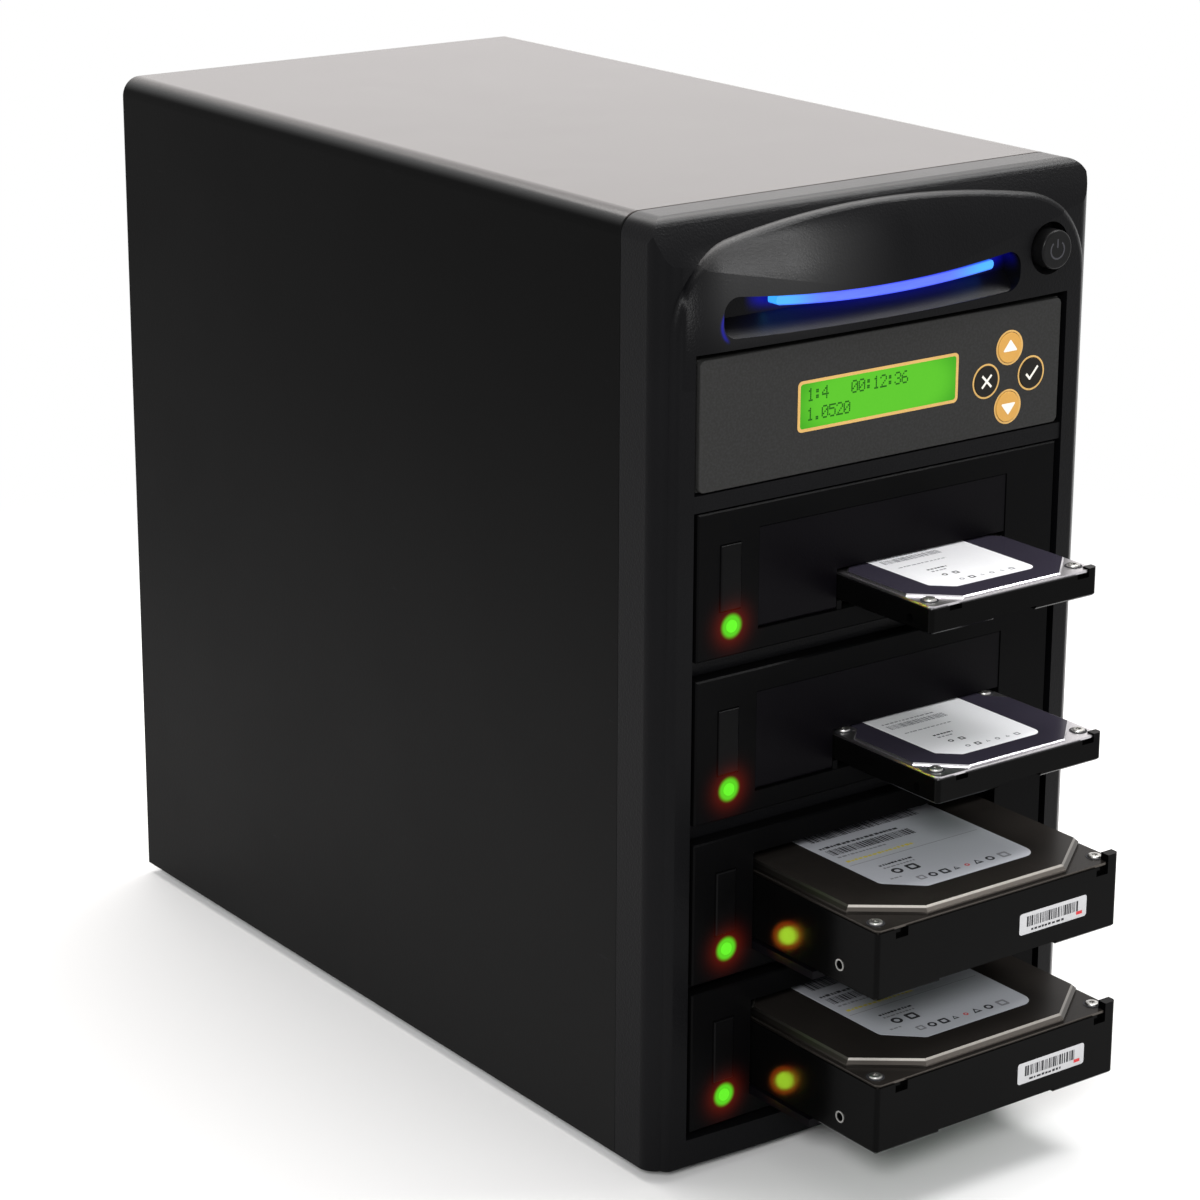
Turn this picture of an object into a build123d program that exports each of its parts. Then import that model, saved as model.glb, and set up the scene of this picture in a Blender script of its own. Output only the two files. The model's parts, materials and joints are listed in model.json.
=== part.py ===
from build123d import *
from math import cos, pi, radians, sin
import os

os.makedirs("parts", exist_ok=True)

# All lengths are in millimetres. X runs to the right as seen from the front, Y to the back, Z up.

# The front, from the table upwards
foot_height = 4.0
sill_height = 11.2
rack_height = 47.5
rack_gaps = (3.2, 6.4, 6.2)
fascia_gap = 6.6
fascia_height = 41.4
crown_height = 43.4

# The front, across
panel_width = 148.0
cheek_width = 14.5

# Fits between pieces
slide_gap = 0.3
slip_gap = 0.15
seat_gap = 0.2
pin_fit = 0.05

# Case
sheet = 1.0
bezel_depth = 21.0
bezel_wall = 2.5
case_corner = 7.0
service_space = 23.5
flange_width = 12.0
screw_radius = 1.6
screw_head_radius = 3.0
screw_head_height = 2.0

# Large and small drives
large_width = 101.6
large_length = 147.0
large_height = 25.4
small_width = 69.85
small_length = 100.35
small_height = 9.5
large_lid_rise = 2.6
small_lid_rise = 0.7
lid_sheet = 0.8

# How far each drive stands out of the front, from the top rack down
drive_reaches = (43.5, 49.0, 59.0, 61.0)

# Racks
rack_front_thickness = 6.0
opening_width = 103.0
opening_height = 33.2
opening_shift = 1.5
lip_height = 6.7
door_thickness = 2.6
door_setback = 0.3
pin_radius = 0.9
door_pin_length = 1.5
lug_width = 1.7
lug_height = 3.0
notch_height = 13.7
drive_lift = 3.4
housing_wall = 1.2
housing_inset = 1.0
connector_width = 38.0
connector_height = 5.0
connector_engagement = 3.5
board_thickness = 1.6

# Release key and status light of a rack
key_bar_width = 7.9
key_bar_height = 21.2
key_bar_x = -61.2
key_bar_rise = 15.1
key_bar_travel = 3.0
lamp_x = -60.5
lamp_rise = 9.7
lamp_radius = 2.0

# Control panel
fascia_thickness = 2.0
window_width = 64.0
window_height = 14.4
window_x = -2.9
window_rise = 14.1
window_thickness = 1.2
window_ledge = 1.2
key_radius = 5.0
key_cross = 9.75
key_cross_x = 51.9
key_cross_rise = 18.1
key_stand = 0.4
key_travel = 0.6

# Arched front of the bezel
arch_margin = 4.0
arch_drop = 3.0
arch_rise = 9.5
arch_corner = 28.0
frame_reach = 0.8
pillow_reach = 2.6
front_bow = 3.0
crown_setback = 9.0
crown_curve_height = 31.0
crown_fillet = 5.0
cheek_fillet = 6.0
pillow_fillet = 3.0
opening_clearance = 2.0
crossbar_setback = 5.0

# Light groove and light bar
groove_left = -66.0
groove_right = 54.0
groove_height = 10.6
groove_rise = 4.4
groove_low_sag = 1.2
groove_high_sag = 4.0
groove_rounding = 5.2
groove_depth = 6.5
bar_left = -43.0
bar_right = 46.0
bar_height = 3.2
bar_sag = 2.4
bar_drop = 3.2
bar_setback = 2.6

# Power button
button_x = 67.0
button_rise = 17.2
button_radius = 6.4
well_radius = 8.6
well_depth = 5.0
button_stand = 1.8
button_travel = 2.5

# Power supply and fans
supply_depth = 140.0
supply_drop = 6.0
supply_wall = 1.0
supply_side_gap = 1.5
fan_headroom = 2.0
fan_side_gap = 5.0
fan_size = 80.0
fan_pitch = 71.5
fan_depth = 25.0
fan_bore = 38.0
hub_radius = 16.0
blade_gap = 1.0
blade_count = 7
fan_pin_radius = 1.5
case_fan_height = 105.0
inlet_side_gap = 16.0
inlet_width = 28.0
inlet_height = 52.0
socket_width = 24.0
socket_height = 16.5
socket_depth = 15.0
rocker_width = 13.0
rocker_radius = 8.8
rocker_throw = 8.0
wire_radius = 0.8
spoke_radius = 1.0
ear_thickness = 0.8
foot_radius = 8.0

# Places worked out from the sizes above
case_bottom = foot_height
rack_bottoms = []
level = case_bottom + sill_height
for gap in (*rack_gaps, fascia_gap):
    rack_bottoms.insert(0, level)
    level += rack_height + gap
fascia_bottom = level
fascia_top = fascia_bottom + fascia_height
case_top = fascia_top + crown_height
case_height = case_top - case_bottom
case_width = panel_width + 2 * cheek_width
half_width = case_width / 2
half_panel = panel_width / 2
supply_width = 2 * (half_width - flange_width - supply_side_gap)
supply_height = fan_size + 2 * (supply_wall + fan_headroom)
supply_fan_x = fan_size / 2 + fan_side_gap + supply_wall - supply_width / 2
inlet_x = supply_width / 2 - inlet_side_gap - inlet_width / 2

lane_end = rack_front_thickness + large_length
housing_depth = lane_end + connector_engagement
backplane_back = housing_depth + housing_wall + board_thickness
inside_depth = backplane_back + service_space + supply_depth
total_depth = max(drive_reaches) + inside_depth + 2 * sheet + screw_head_height
face_y = max(drive_reaches) - total_depth / 2
seam_y = face_y + bezel_depth
panel_y = face_y + inside_depth
rear_y = panel_y + 2 * sheet

opening_left = opening_shift - opening_width / 2
opening_right = opening_shift + opening_width / 2
drive_left = opening_shift - large_width / 2
drive_right = opening_shift + large_width / 2
housing_front_y = face_y + rack_front_thickness
housing_back_y = face_y + housing_depth
home_y = housing_back_y - connector_engagement
barrel_radius = door_thickness / 2
hinge_y = face_y + door_setback + barrel_radius
hinge_rise = lip_height + slide_gap + barrel_radius
half_cage = half_panel + slide_gap


# A plane at depth y, read from the front: X across, Z up, extrusions run towards the front.
def front_plane(y):
    return Plane(origin=(0, y, 0), x_dir=(1, 0, 0), z_dir=(0, -1, 0))


# A box between two corners, for use inside a part block.
def span_box(x0, x1, y0, y1, z0, z1, mode=Mode.ADD):
    with Locations(((x0 + x1) / 2, (y0 + y1) / 2, (z0 + z1) / 2)):
        Box(x1 - x0, y1 - y0, z1 - z0, mode=mode)


# A rod along Y between two depths, for use inside a part block.
def rod(x, z, radius, y0, y1, mode=Mode.ADD):
    with Locations((x, (y0 + y1) / 2, z)):
        Cylinder(radius, y1 - y0, rotation=(90, 0, 0), mode=mode)


# A rod along X between two places, for use inside a part block.
def cross_rod(x0, x1, y, z, radius, mode=Mode.ADD):
    with Locations(((x0 + x1) / 2, y, z)):
        Cylinder(radius, x1 - x0, rotation=(0, 90, 0), mode=mode)


def save(builder, label):
    builder.part.label = label
    export_step(builder.part, f"parts/{label}.step")


# The block inside the plan, side and front outlines of the bezel, drawn in by the inset.
def bezel_form(reach, inset, back):
    half = half_width - inset
    front = face_y - reach + inset
    top = case_top - inset
    bottom = case_bottom + inset
    with BuildSketch(Plane.XY.offset(bottom)) as plan:
        with BuildLine():
            Polyline((-half, front + front_bow), (-half, back), (half, back), (half, front + front_bow))
            ThreePointArc((half, front + front_bow), (0, front), (-half, front + front_bow))
        make_face()
        fillet(plan.vertices().group_by(Axis.Y)[0], cheek_fillet - inset)
    crest_y = face_y - reach + crown_setback + inset
    with BuildSketch(Plane.YZ) as profile:
        with BuildLine():
            Polyline((front, top - crown_curve_height), (front, bottom), (back, bottom), (back, top), (crest_y, top))
            TangentArc((front, top - crown_curve_height), (crest_y, top), tangent=(0, 1))
        make_face()
        crest = profile.vertices().sort_by_distance((crest_y, top))[0]
        fillet(crest, crown_fillet - inset)
    with BuildSketch(front_plane(back)) as outline:
        with Locations((0, (top + bottom) / 2)):
            Rectangle(2 * half, top - bottom)
        fillet(outline.vertices().group_by(Axis.Y)[-1], case_corner - inset)
    with BuildPart() as form:
        extrude(plan.sketch, amount=top - bottom)
        extrude(profile.sketch, amount=half, both=True, mode=Mode.INTERSECT)
        extrude(outline.sketch, amount=2 * (back - front), mode=Mode.INTERSECT)
    return form.part


# The arched field of the bezel stands a little before its border.
def make_pillow():
    half = half_width - arch_margin
    crown = case_top - arch_drop
    with BuildSketch(front_plane(seam_y)) as arch:
        with BuildLine():
            Polyline((-half, crown - arch_rise), (-half, case_bottom), (half, case_bottom), (half, crown - arch_rise))
            ThreePointArc((half, crown - arch_rise), (0, crown), (-half, crown - arch_rise))
        make_face()
        fillet(arch.vertices().group_by(Axis.Y)[-1], arch_corner)
    with BuildPart() as pillow:
        add(bezel_form(pillow_reach, 0.0, seam_y))
        extrude(arch.sketch, amount=2 * bezel_depth, mode=Mode.INTERSECT)
    return pillow


# Flat band between two upward-curving arcs, read from the front. Each sag is how far its ends rise.
def smile_band(y, left, right, low, high, low_sag, high_sag, rounding):
    centre = (left + right) / 2
    with BuildSketch(front_plane(y)) as band:
        with BuildLine():
            ThreePointArc((left, low + low_sag), (centre, low), (right, low + low_sag))
            Line((right, low + low_sag), (right, high + high_sag))
            ThreePointArc((right, high + high_sag), (centre, high), (left, high + high_sag))
            Line((left, high + high_sag), (left, low + low_sag))
        make_face()
        fillet(band.vertices(), rounding)
    return band.sketch


# The outline of the light bar, grown by a clearance.
def bar_band(y, grow):
    low = bar_middle - bar_height / 2 - grow
    high = bar_middle + bar_height / 2 + grow
    return smile_band(y, bar_left - grow, bar_right + grow, low, high, bar_sag, bar_sag, 0.45 * bar_height)


groove_bottom = fascia_top + groove_rise
groove_middle = groove_bottom + groove_height / 2
groove_top = groove_bottom + groove_height
bar_middle = groove_top - bar_drop
groove_back_y = face_y + groove_depth
trough_back_y = groove_back_y + bezel_wall
bar_front_y = face_y + bar_setback
button_z = fascia_top + button_rise
tube_end_y = face_y + well_depth + 11.0
ledge_back_y = face_y + well_depth + bezel_wall


# The hollow under the light bar, deepest at its top edge.
def make_groove():
    front = face_y - 2 * bezel_depth
    with BuildSketch(Plane.YZ) as wedge:
        with BuildLine():
            Polyline(
                (front, groove_bottom),
                (face_y - pillow_reach, groove_bottom),
                (groove_back_y, bar_middle - bar_height / 2),
                (groove_back_y, case_top),
                (front, case_top),
                close=True,
            )
        make_face()
    band = smile_band(
        groove_back_y,
        groove_left,
        groove_right,
        groove_bottom,
        groove_top,
        groove_low_sag,
        groove_high_sag,
        groove_rounding,
    )
    with BuildPart() as groove:
        extrude(band, amount=2 * bezel_depth)
        extrude(wedge.sketch, amount=half_width, both=True, mode=Mode.INTERSECT)
    return groove.part


# The arched field with its rounded rim.
def make_round_pillow():
    pillow = make_pillow()
    fronts = [f for f in pillow.faces() if f.normal_at().Y < -0.5]
    flanks = [f for f in pillow.faces() if abs(f.normal_at().Y) < 0.1 and f.center().Y < seam_y - 1]
    rim = [
        e
        for e in pillow.edges()
        if any(e in f.edges() for f in fronts)
        and any(e in f.edges() for f in flanks)
        and e.center().Z > case_bottom + 1
    ]
    return pillow.part.fillet(pillow_fillet, rim)


def make_front_bezel():
    opening_half = half_panel + opening_clearance
    opening_floor = rack_bottoms[-1] - opening_clearance
    opening_top = fascia_top + opening_clearance
    inner_y = face_y - frame_reach + bezel_wall
    collar_back_y = face_y + 2 * rack_front_thickness
    back = seam_y - seat_gap
    cavity = bezel_form(frame_reach, bezel_wall, seam_y + bezel_depth)
    pillow = make_round_pillow()
    groove = make_groove()
    bar_slot = bar_band(trough_back_y, slip_gap)
    with BuildPart() as bezel:
        add(bezel_form(frame_reach, 0.0, back))
        add(pillow)
        add(cavity, mode=Mode.SUBTRACT)
        span_box(-half_width, half_width, back, seam_y, case_bottom, case_top, mode=Mode.SUBTRACT)
        outer = opening_half + bezel_wall
        span_box(-outer, outer, inner_y, collar_back_y, opening_floor - bezel_wall, opening_top + bezel_wall / 2)
        span_box(
            groove_left - bezel_wall,
            groove_right + bezel_wall / 2,
            inner_y,
            trough_back_y,
            opening_top,
            groove_top + groove_high_sag + bezel_wall,
        )
        rod(button_x, button_z, well_radius + bezel_wall / 2, inner_y, tube_end_y)
        for side in (-1, 1):
            for height in (opening_floor, opening_top):
                rod(side * outer, height, 2 * bezel_wall, inner_y, seam_y)
        span_box(
            -opening_half,
            opening_half,
            face_y - bezel_depth,
            seam_y,
            opening_floor,
            opening_top,
            mode=Mode.SUBTRACT,
        )
        add(groove, mode=Mode.SUBTRACT)
        extrude(bar_slot, amount=bezel_wall + 1, mode=Mode.SUBTRACT)
        rod(button_x, button_z, well_radius, face_y - bezel_depth, face_y + well_depth, mode=Mode.SUBTRACT)
        rod(button_x, button_z, button_radius + slide_gap, face_y, seam_y, mode=Mode.SUBTRACT)
        rod(button_x, button_z, well_radius - slide_gap, ledge_back_y, seam_y, mode=Mode.SUBTRACT)
        # Crossbars of the bay opening: a front one under the control panel, deeper ones between racks.
        first_top = rack_bottoms[0] + rack_height
        span_box(
            -opening_half,
            opening_half,
            face_y + seat_gap,
            collar_back_y,
            first_top + 2 * slide_gap,
            fascia_bottom - 2 * slide_gap,
        )
        for upper, lower in zip(rack_bottoms, rack_bottoms[1:]):
            span_box(
                -opening_half,
                opening_half,
                face_y + crossbar_setback,
                collar_back_y,
                lower + rack_height + slide_gap,
                upper - slide_gap,
            )
    save(bezel, "front_bezel")


def make_light_parts():
    with BuildPart() as light_bar:
        extrude(bar_band(trough_back_y, 0.0), amount=trough_back_y - bar_front_y)
    save(light_bar, "light_bar")
    board_back_y = trough_back_y + board_thickness
    lamp_pitch = (bar_right - bar_left) / 6
    with BuildPart() as light_board:
        span_box(
            bar_left - 2 * bezel_wall,
            bar_right + bezel_wall,
            trough_back_y,
            board_back_y,
            groove_middle - bezel_wall,
            groove_top + groove_high_sag,
        )
        with BuildSketch(front_plane(board_back_y)):
            for step in range(7):
                with Locations((bar_left + step * lamp_pitch, groove_middle)):
                    Rectangle(board_thickness, board_thickness)
        extrude(amount=-board_thickness / 2)
    save(light_board, "light_board")


def make_power_button():
    front = face_y - button_stand - pillow_reach
    stem_end = ledge_back_y + 2 * board_thickness
    with BuildPart() as button:
        rod(button_x, button_z, button_radius, front, stem_end)
        front_rim = button.faces().sort_by(Axis.Y)[0].edges()
        fillet(front_rim, 0.8)
        rod(button_x, button_z, well_radius - 3 * slide_gap, ledge_back_y + slide_gap, stem_end)
    save(button, "power_button")
    with BuildPart() as switch:
        rod(button_x, button_z, well_radius + bezel_wall / 2, tube_end_y, tube_end_y + board_thickness)
        rod(button_x, button_z, well_radius / 2, tube_end_y + board_thickness, seam_y)
        rod(button_x, button_z, pin_radius * 2, stem_end + button_travel + slide_gap, tube_end_y)
    save(switch, "power_switch")


window_z = fascia_bottom + window_rise + window_height / 2
cross_z = fascia_bottom + key_cross_rise
key_places = {
    "up_key": (key_cross_x, cross_z + key_cross),
    "down_key": (key_cross_x, cross_z - key_cross),
    "escape_key": (key_cross_x - key_cross, cross_z),
    "confirm_key": (key_cross_x + key_cross, cross_z),
}
key_flange = 1.2
key_back_y = face_y + fascia_thickness + slide_gap + key_flange
panel_board_y = face_y + 9.0
panel_board_half = half_panel - 4.0


def make_fascia():
    tray_back_y = panel_board_y
    with BuildPart() as fascia:
        with BuildSketch(front_plane(face_y + fascia_thickness)):
            with Locations((0, (fascia_bottom + fascia_top) / 2)):
                RectangleRounded(panel_width, fascia_height, 2.0)
        extrude(amount=fascia_thickness)
        front_rim = fascia.faces().sort_by(Axis.Y)[0].edges()
        fillet(front_rim, 0.4)
        for side in (-1, 1):
            for z in (fascia_bottom + 4.0, fascia_top - 4.0):
                rod(side * (panel_board_half - 4.0), z, 2.5, face_y + fascia_thickness, tray_back_y)
        for z0 in (fascia_bottom, fascia_top - fascia_thickness):
            span_box(
                -half_panel + 2.0, half_panel - 2.0, face_y + fascia_thickness, seam_y, z0, z0 + fascia_thickness
            )
        for side in (-1, 1):
            x = side * (half_panel - 1.0)
            span_box(
                x - 1.0, x + 1.0, face_y + fascia_thickness, seam_y + bezel_depth, fascia_bottom, fascia_top
            )
        with Locations((window_x, face_y + fascia_thickness / 2, window_z)):
            Box(
                window_width - 2 * window_ledge,
                2 * fascia_thickness,
                window_height - 2 * window_ledge,
                mode=Mode.SUBTRACT,
            )
        with Locations((window_x, face_y + window_thickness / 2, window_z)):
            Box(window_width + 2 * slip_gap, window_thickness, window_height + 2 * slip_gap, mode=Mode.SUBTRACT)
        for x, z in key_places.values():
            rod(x, z, key_radius + slide_gap, face_y - 1, face_y + fascia_thickness + 1, mode=Mode.SUBTRACT)
    save(fascia, "panel_fascia")


def make_panel_parts():
    with BuildPart() as window:
        with BuildSketch(front_plane(face_y + window_thickness)):
            with Locations((window_x, window_z)):
                RectangleRounded(window_width, window_height, 1.0)
        extrude(amount=window_thickness)
    save(window, "display_window")
    for name, (x, z) in key_places.items():
        with BuildPart() as key:
            rod(x, z, key_radius, face_y - key_stand, key_back_y)
            rim = key.faces().sort_by(Axis.Y)[0].edges()
            fillet(rim, 0.3)
            rod(x, z, key_radius + 0.8, key_back_y - key_flange, key_back_y)
        save(key, name)
    middle = (fascia_bottom + fascia_top) / 2
    board_half_height = fascia_height / 2 - fascia_thickness - slide_gap
    with BuildPart() as display:
        span_box(
            -panel_board_half,
            panel_board_half,
            panel_board_y,
            panel_board_y + board_thickness,
            middle - board_half_height,
            middle + board_half_height,
        )
        span_box(
            window_x - window_width / 2 - 2.0,
            window_x + window_width / 2 + 2.0,
            face_y + fascia_thickness,
            panel_board_y,
            window_z - window_height / 2 - 3.0,
            window_z + window_height / 2 + 3.0,
        )
        for x, z in key_places.values():
            rod(x, z, 2.5, key_back_y + key_travel + slide_gap, panel_board_y)
        span_box(
            -panel_board_half + 8.0,
            -panel_board_half + 28.0,
            panel_board_y + board_thickness,
            panel_board_y + board_thickness + 6.0,
            middle - 5.0,
            middle + 5.0,
        )
    save(display, "display_module")


cage_back_y = face_y + backplane_back + 4.0
cage_top = fascia_top + 6.0
shelf_z = rack_bottoms[0] + rack_height + 1.0
standoff = 6.0
board_front_y = seam_y + 2 * bezel_depth


# The controller board stands on the cage's shelf, with chips on it and a row of lead sockets at its back.
controller_half = half_panel - 12.0
controller_back_y = cage_back_y - 8.0
chip_size = 18.0
chip_height = 2.0
socket_size = (16.0, 8.0, 8.0)
socket_pitch = 20.0


def make_controller_board():
    floor = shelf_z + sheet + standoff
    top = floor + board_thickness
    length, depth, height = socket_size
    with BuildPart() as board:
        span_box(-controller_half, controller_half, board_front_y, controller_back_y, floor, top)
        with Locations((0, board_front_y + 3 * chip_size, top + chip_height / 2)):
            with GridLocations(2.5 * chip_size, 2 * chip_size, 2, 2):
                Box(chip_size, chip_size, chip_height)
        with Locations((0, controller_back_y - depth, top + height / 2)):
            with GridLocations(socket_pitch, 1, 4, 1):
                Box(length, depth, height)
    save(board, "controller_board")


# Each rack rests on four tabs that are bent in from the cage's sides.
cage_tab = (8.0, 28.0)
standoff_radius = 2.5


def make_cage():
    bottom = case_bottom + sheet
    inner = half_cage
    outer = half_cage + sheet
    flange_edge = half_width - sheet - slip_gap
    tab_width, tab_length = cage_tab
    with BuildPart() as cage:
        for side in (-1, 1):
            x0, x1 = sorted((side * inner, side * outer))
            span_box(x0, x1, seam_y, cage_back_y, bottom, cage_top)
            x0, x1 = sorted((side * inner, side * flange_edge))
            span_box(x0, x1, seam_y, seam_y + sheet, bottom + flange_width, cage_top)
            x0, x1 = sorted((side * (inner - flange_width), side * outer))
            span_box(x0, x1, seam_y + sheet + slip_gap, cage_back_y, bottom, bottom + sheet)
            for floor in rack_bottoms:
                tab_top = floor + housing_inset
                for y in (seam_y + tab_width, cage_back_y - 2 * tab_length):
                    x0, x1 = sorted((side * (inner - tab_width), side * inner))
                    span_box(x0, x1, y, y + tab_length, tab_top - sheet, tab_top)
        span_box(-outer, outer, seam_y, cage_back_y, cage_top - sheet, cage_top)
        span_box(-inner, inner, seam_y, cage_back_y, shelf_z, shelf_z + sheet)
        for side in (-1, 1):
            for y in (board_front_y + standoff, controller_back_y - standoff):
                with Locations((side * (controller_half - standoff), y, shelf_z + sheet + standoff / 2)):
                    Cylinder(standoff_radius, standoff)
    save(cage, "bay_cage")


# Racks
notch_left = drive_right - small_width - 2 * slide_gap
lamp_hole = lamp_radius + slip_gap


def make_rack_bezel(number, zb, small):
    opening_bottom = zb + lip_height
    hinge_z = zb + hinge_rise
    key_middle = zb + key_bar_rise + key_bar_height / 2
    with BuildPart() as bezel:
        span_box(-half_panel, half_panel, face_y, housing_front_y, zb, zb + rack_height)
        front_rim = bezel.faces().sort_by(Axis.Y)[0].edges()
        chamfer(front_rim, 0.5)
        span_box(
            opening_left,
            opening_right,
            face_y - 1,
            housing_front_y + 1,
            opening_bottom,
            opening_bottom + opening_height,
            mode=Mode.SUBTRACT,
        )
        with Locations((key_bar_x, face_y, key_middle)):
            Box(
                key_bar_width + 2 * slide_gap,
                4 * rack_front_thickness,
                key_bar_height + 2 * slide_gap,
                mode=Mode.SUBTRACT,
            )
        rod(lamp_x, zb + lamp_rise, lamp_hole, face_y - 1, housing_front_y + 1, mode=Mode.SUBTRACT)
        socket = pin_radius + pin_fit
        depth = door_pin_length + slide_gap
        cross_rod(opening_left - depth, opening_left, hinge_y, hinge_z, socket, mode=Mode.SUBTRACT)
        if small:
            lug_left = notch_left + slide_gap
            span_box(
                lug_left,
                lug_left + lug_width + slide_gap,
                hinge_y - barrel_radius,
                hinge_y + barrel_radius,
                opening_bottom,
                opening_bottom + lug_height,
            )
            cross_rod(notch_left - door_pin_length, lug_left, hinge_y, hinge_z, pin_radius)
        else:
            cross_rod(opening_right, opening_right + depth, hinge_y, hinge_z, socket, mode=Mode.SUBTRACT)
    save(bezel, f"rack_bezel_{number}")


# A drop-down door, drawn upright or folded out flat. It turns on a stub pin at its left end and on
# a second one at its right, which a door with a notch takes from the lug of its rack front.
def make_door(number, zb, small):
    hinge_z = zb + hinge_rise
    leaf_left = opening_left + slide_gap
    leaf_right = opening_right - slide_gap
    leaf_height = opening_height - 2 * slide_gap - barrel_radius
    notch_rise = notch_height - slide_gap - barrel_radius
    if small:
        leaf_plane = Plane(origin=(0, hinge_y, hinge_z), x_dir=(1, 0, 0), z_dir=(0, -1, 0))
        barrel_right = notch_left
    else:
        leaf_plane = Plane(origin=(0, hinge_y, hinge_z), x_dir=(1, 0, 0), z_dir=(0, 0, -1))
        barrel_right = leaf_right
    with BuildPart() as door:
        with BuildSketch(leaf_plane):
            with BuildLine():
                if small:
                    Polyline(
                        (leaf_left, 0),
                        (notch_left, 0),
                        (notch_left, notch_rise),
                        (leaf_right, notch_rise),
                        (leaf_right, leaf_height),
                        (leaf_left, leaf_height),
                        close=True,
                    )
                else:
                    Polyline(
                        (leaf_left, 0),
                        (leaf_right, 0),
                        (leaf_right, leaf_height),
                        (leaf_left, leaf_height),
                        close=True,
                    )
            make_face()
        extrude(amount=barrel_radius, both=True)
        cross_rod(leaf_left, barrel_right, hinge_y, hinge_z, barrel_radius)
        cross_rod(opening_left - door_pin_length, leaf_left, hinge_y, hinge_z, pin_radius)
        if small:
            socket_left = notch_left - door_pin_length - slide_gap
            cross_rod(socket_left, notch_left, hinge_y, hinge_z, pin_radius + pin_fit, mode=Mode.SUBTRACT)
        else:
            cross_rod(leaf_right, opening_right + door_pin_length, hinge_y, hinge_z, pin_radius)
    save(door, f"door_{number}")


def make_release_key(number, zb):
    bottom = zb + key_bar_rise
    top = bottom + key_bar_height
    left = key_bar_x - key_bar_width / 2
    right = key_bar_x + key_bar_width / 2
    flange_y = housing_front_y + slide_gap
    with BuildPart() as key:
        span_box(left, right, face_y - 2 * slide_gap, flange_y + housing_wall, bottom, top)
        front_rim = key.faces().sort_by(Axis.Y)[0].edges()
        fillet(front_rim, 0.5)
        span_box(left - 1.0, right + 1.0, flange_y, flange_y + housing_wall, bottom - 1.0, top + 1.0)
    save(key, f"release_key_{number}")


def make_lenses():
    with BuildPart() as lenses:
        for zb in rack_bottoms:
            rod(lamp_x, zb + lamp_rise, lamp_radius, face_y - slide_gap, housing_front_y)
    save(lenses, "status_lenses")


connector_inset = 4.3
connector_right = drive_right - connector_inset
connector_left = connector_right - connector_width
connector_lift = 2.0
connector_front_y = home_y - connector_engagement


def make_housing(number, zb):
    floor_top = zb + lip_height + drive_lift - slide_gap
    outer = half_panel - housing_inset
    low = zb + housing_inset
    high = zb + rack_height - 1.5 * housing_inset
    rear_y = housing_back_y + housing_wall
    plug_low = floor_top + slide_gap + connector_lift - 1.0
    plug_high = plug_low + connector_height + 2.0
    with BuildPart() as housing:
        for side in (-1, 1):
            x0, x1 = sorted((side * (outer - housing_wall), side * outer))
            span_box(x0, x1, housing_front_y, rear_y, low, high)
        span_box(-outer, outer, housing_front_y, rear_y, floor_top - housing_wall, floor_top)
        span_box(-outer, outer, housing_back_y, rear_y, low, high)
        for guide_right in (opening_left, opening_right + housing_wall):
            span_box(
                guide_right - housing_wall, guide_right, housing_front_y, rear_y, floor_top - housing_wall, floor_top + 20.0
            )
        span_box(
            connector_left - 1.0,
            connector_right + 1.0,
            housing_back_y - 1,
            rear_y + 1,
            plug_low,
            plug_high,
            mode=Mode.SUBTRACT,
        )
    save(housing, f"rack_housing_{number}")


# Each backplane is a board behind its housing, with a drive connector in front and a lead socket behind.
backplane_side = 14.0
backplane_inset = 5.0
lead_socket = (-50.0, 30.0, 10.0)


def make_backplanes():
    front = housing_back_y + housing_wall
    back = front + board_thickness
    half = half_panel - backplane_side
    socket_x, socket_length, socket_rise = lead_socket
    with BuildPart() as boards:
        for zb in rack_bottoms:
            plug_z = zb + lip_height + drive_lift + connector_lift
            low = zb + backplane_inset
            span_box(-half, half, front, back, low, zb + rack_height - backplane_inset)
            span_box(
                connector_left,
                connector_right,
                connector_front_y,
                front,
                plug_z,
                plug_z + connector_height,
            )
            span_box(
                socket_x,
                socket_x + socket_length,
                back,
                back + 2 * board_thickness,
                low + socket_rise,
                low + 2 * socket_rise,
            )
    save(boards, "backplanes")


# Drives
class DriveKind:
    def __init__(self, width, length, height, lid_rise):
        self.width = width
        self.length = length
        self.height = height
        self.lid_rise = lid_rise
        self.ledge = height - lid_rise - lid_sheet


large_kind = DriveKind(large_width, large_length, large_height, large_lid_rise)
large_kind.side_hole_rise = 6.35
large_kind.side_hole_steps = (16.9, 76.9, 118.5)
large_kind.corner_cut = (20.0, 15.0)
large_kind.notch_depth = 3.0
large_kind.post_size = (4.6, 3.4)
small_kind = DriveKind(small_width, small_length, small_height, small_lid_rise)
small_kind.side_hole_rise = 3.0
small_kind.side_hole_steps = (9.8, 86.4)
small_kind.corner_cut = (13.0, 12.0)
small_kind.notch_depth = 1.5
small_kind.post_size = (3.6, 3.0)
hole_radius = 1.5
lid_screw_radius = 1.0
lid_screw_head = 2.2
lid_screw_side = 4.6
lid_screw_end = 6.2
lid_margin = 0.6
plateau_inset = 1.6
screw_bay_depth = 5.6
screw_bay_half = 3.0
notch_start = 7.5
notch_width = 5.0
foot_pad_width = 26.0
foot_pad_rise = 1.2
board_side = 6.0
board_start = 18.0
board_recess = 2.0
circuit_board = 1.5


class DriveSpan:
    def __init__(self, kind, reach):
        self.left = drive_right - kind.width
        self.right = drive_right
        self.front = face_y - reach
        self.back = self.front + kind.length

    def screw_places(self):
        middle = (self.front + self.back) / 2
        return [
            (x, y)
            for x in (self.left + lid_screw_side, self.right - lid_screw_side)
            for y in (self.front + lid_screw_end, middle, self.back - lid_screw_end)
        ]


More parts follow.
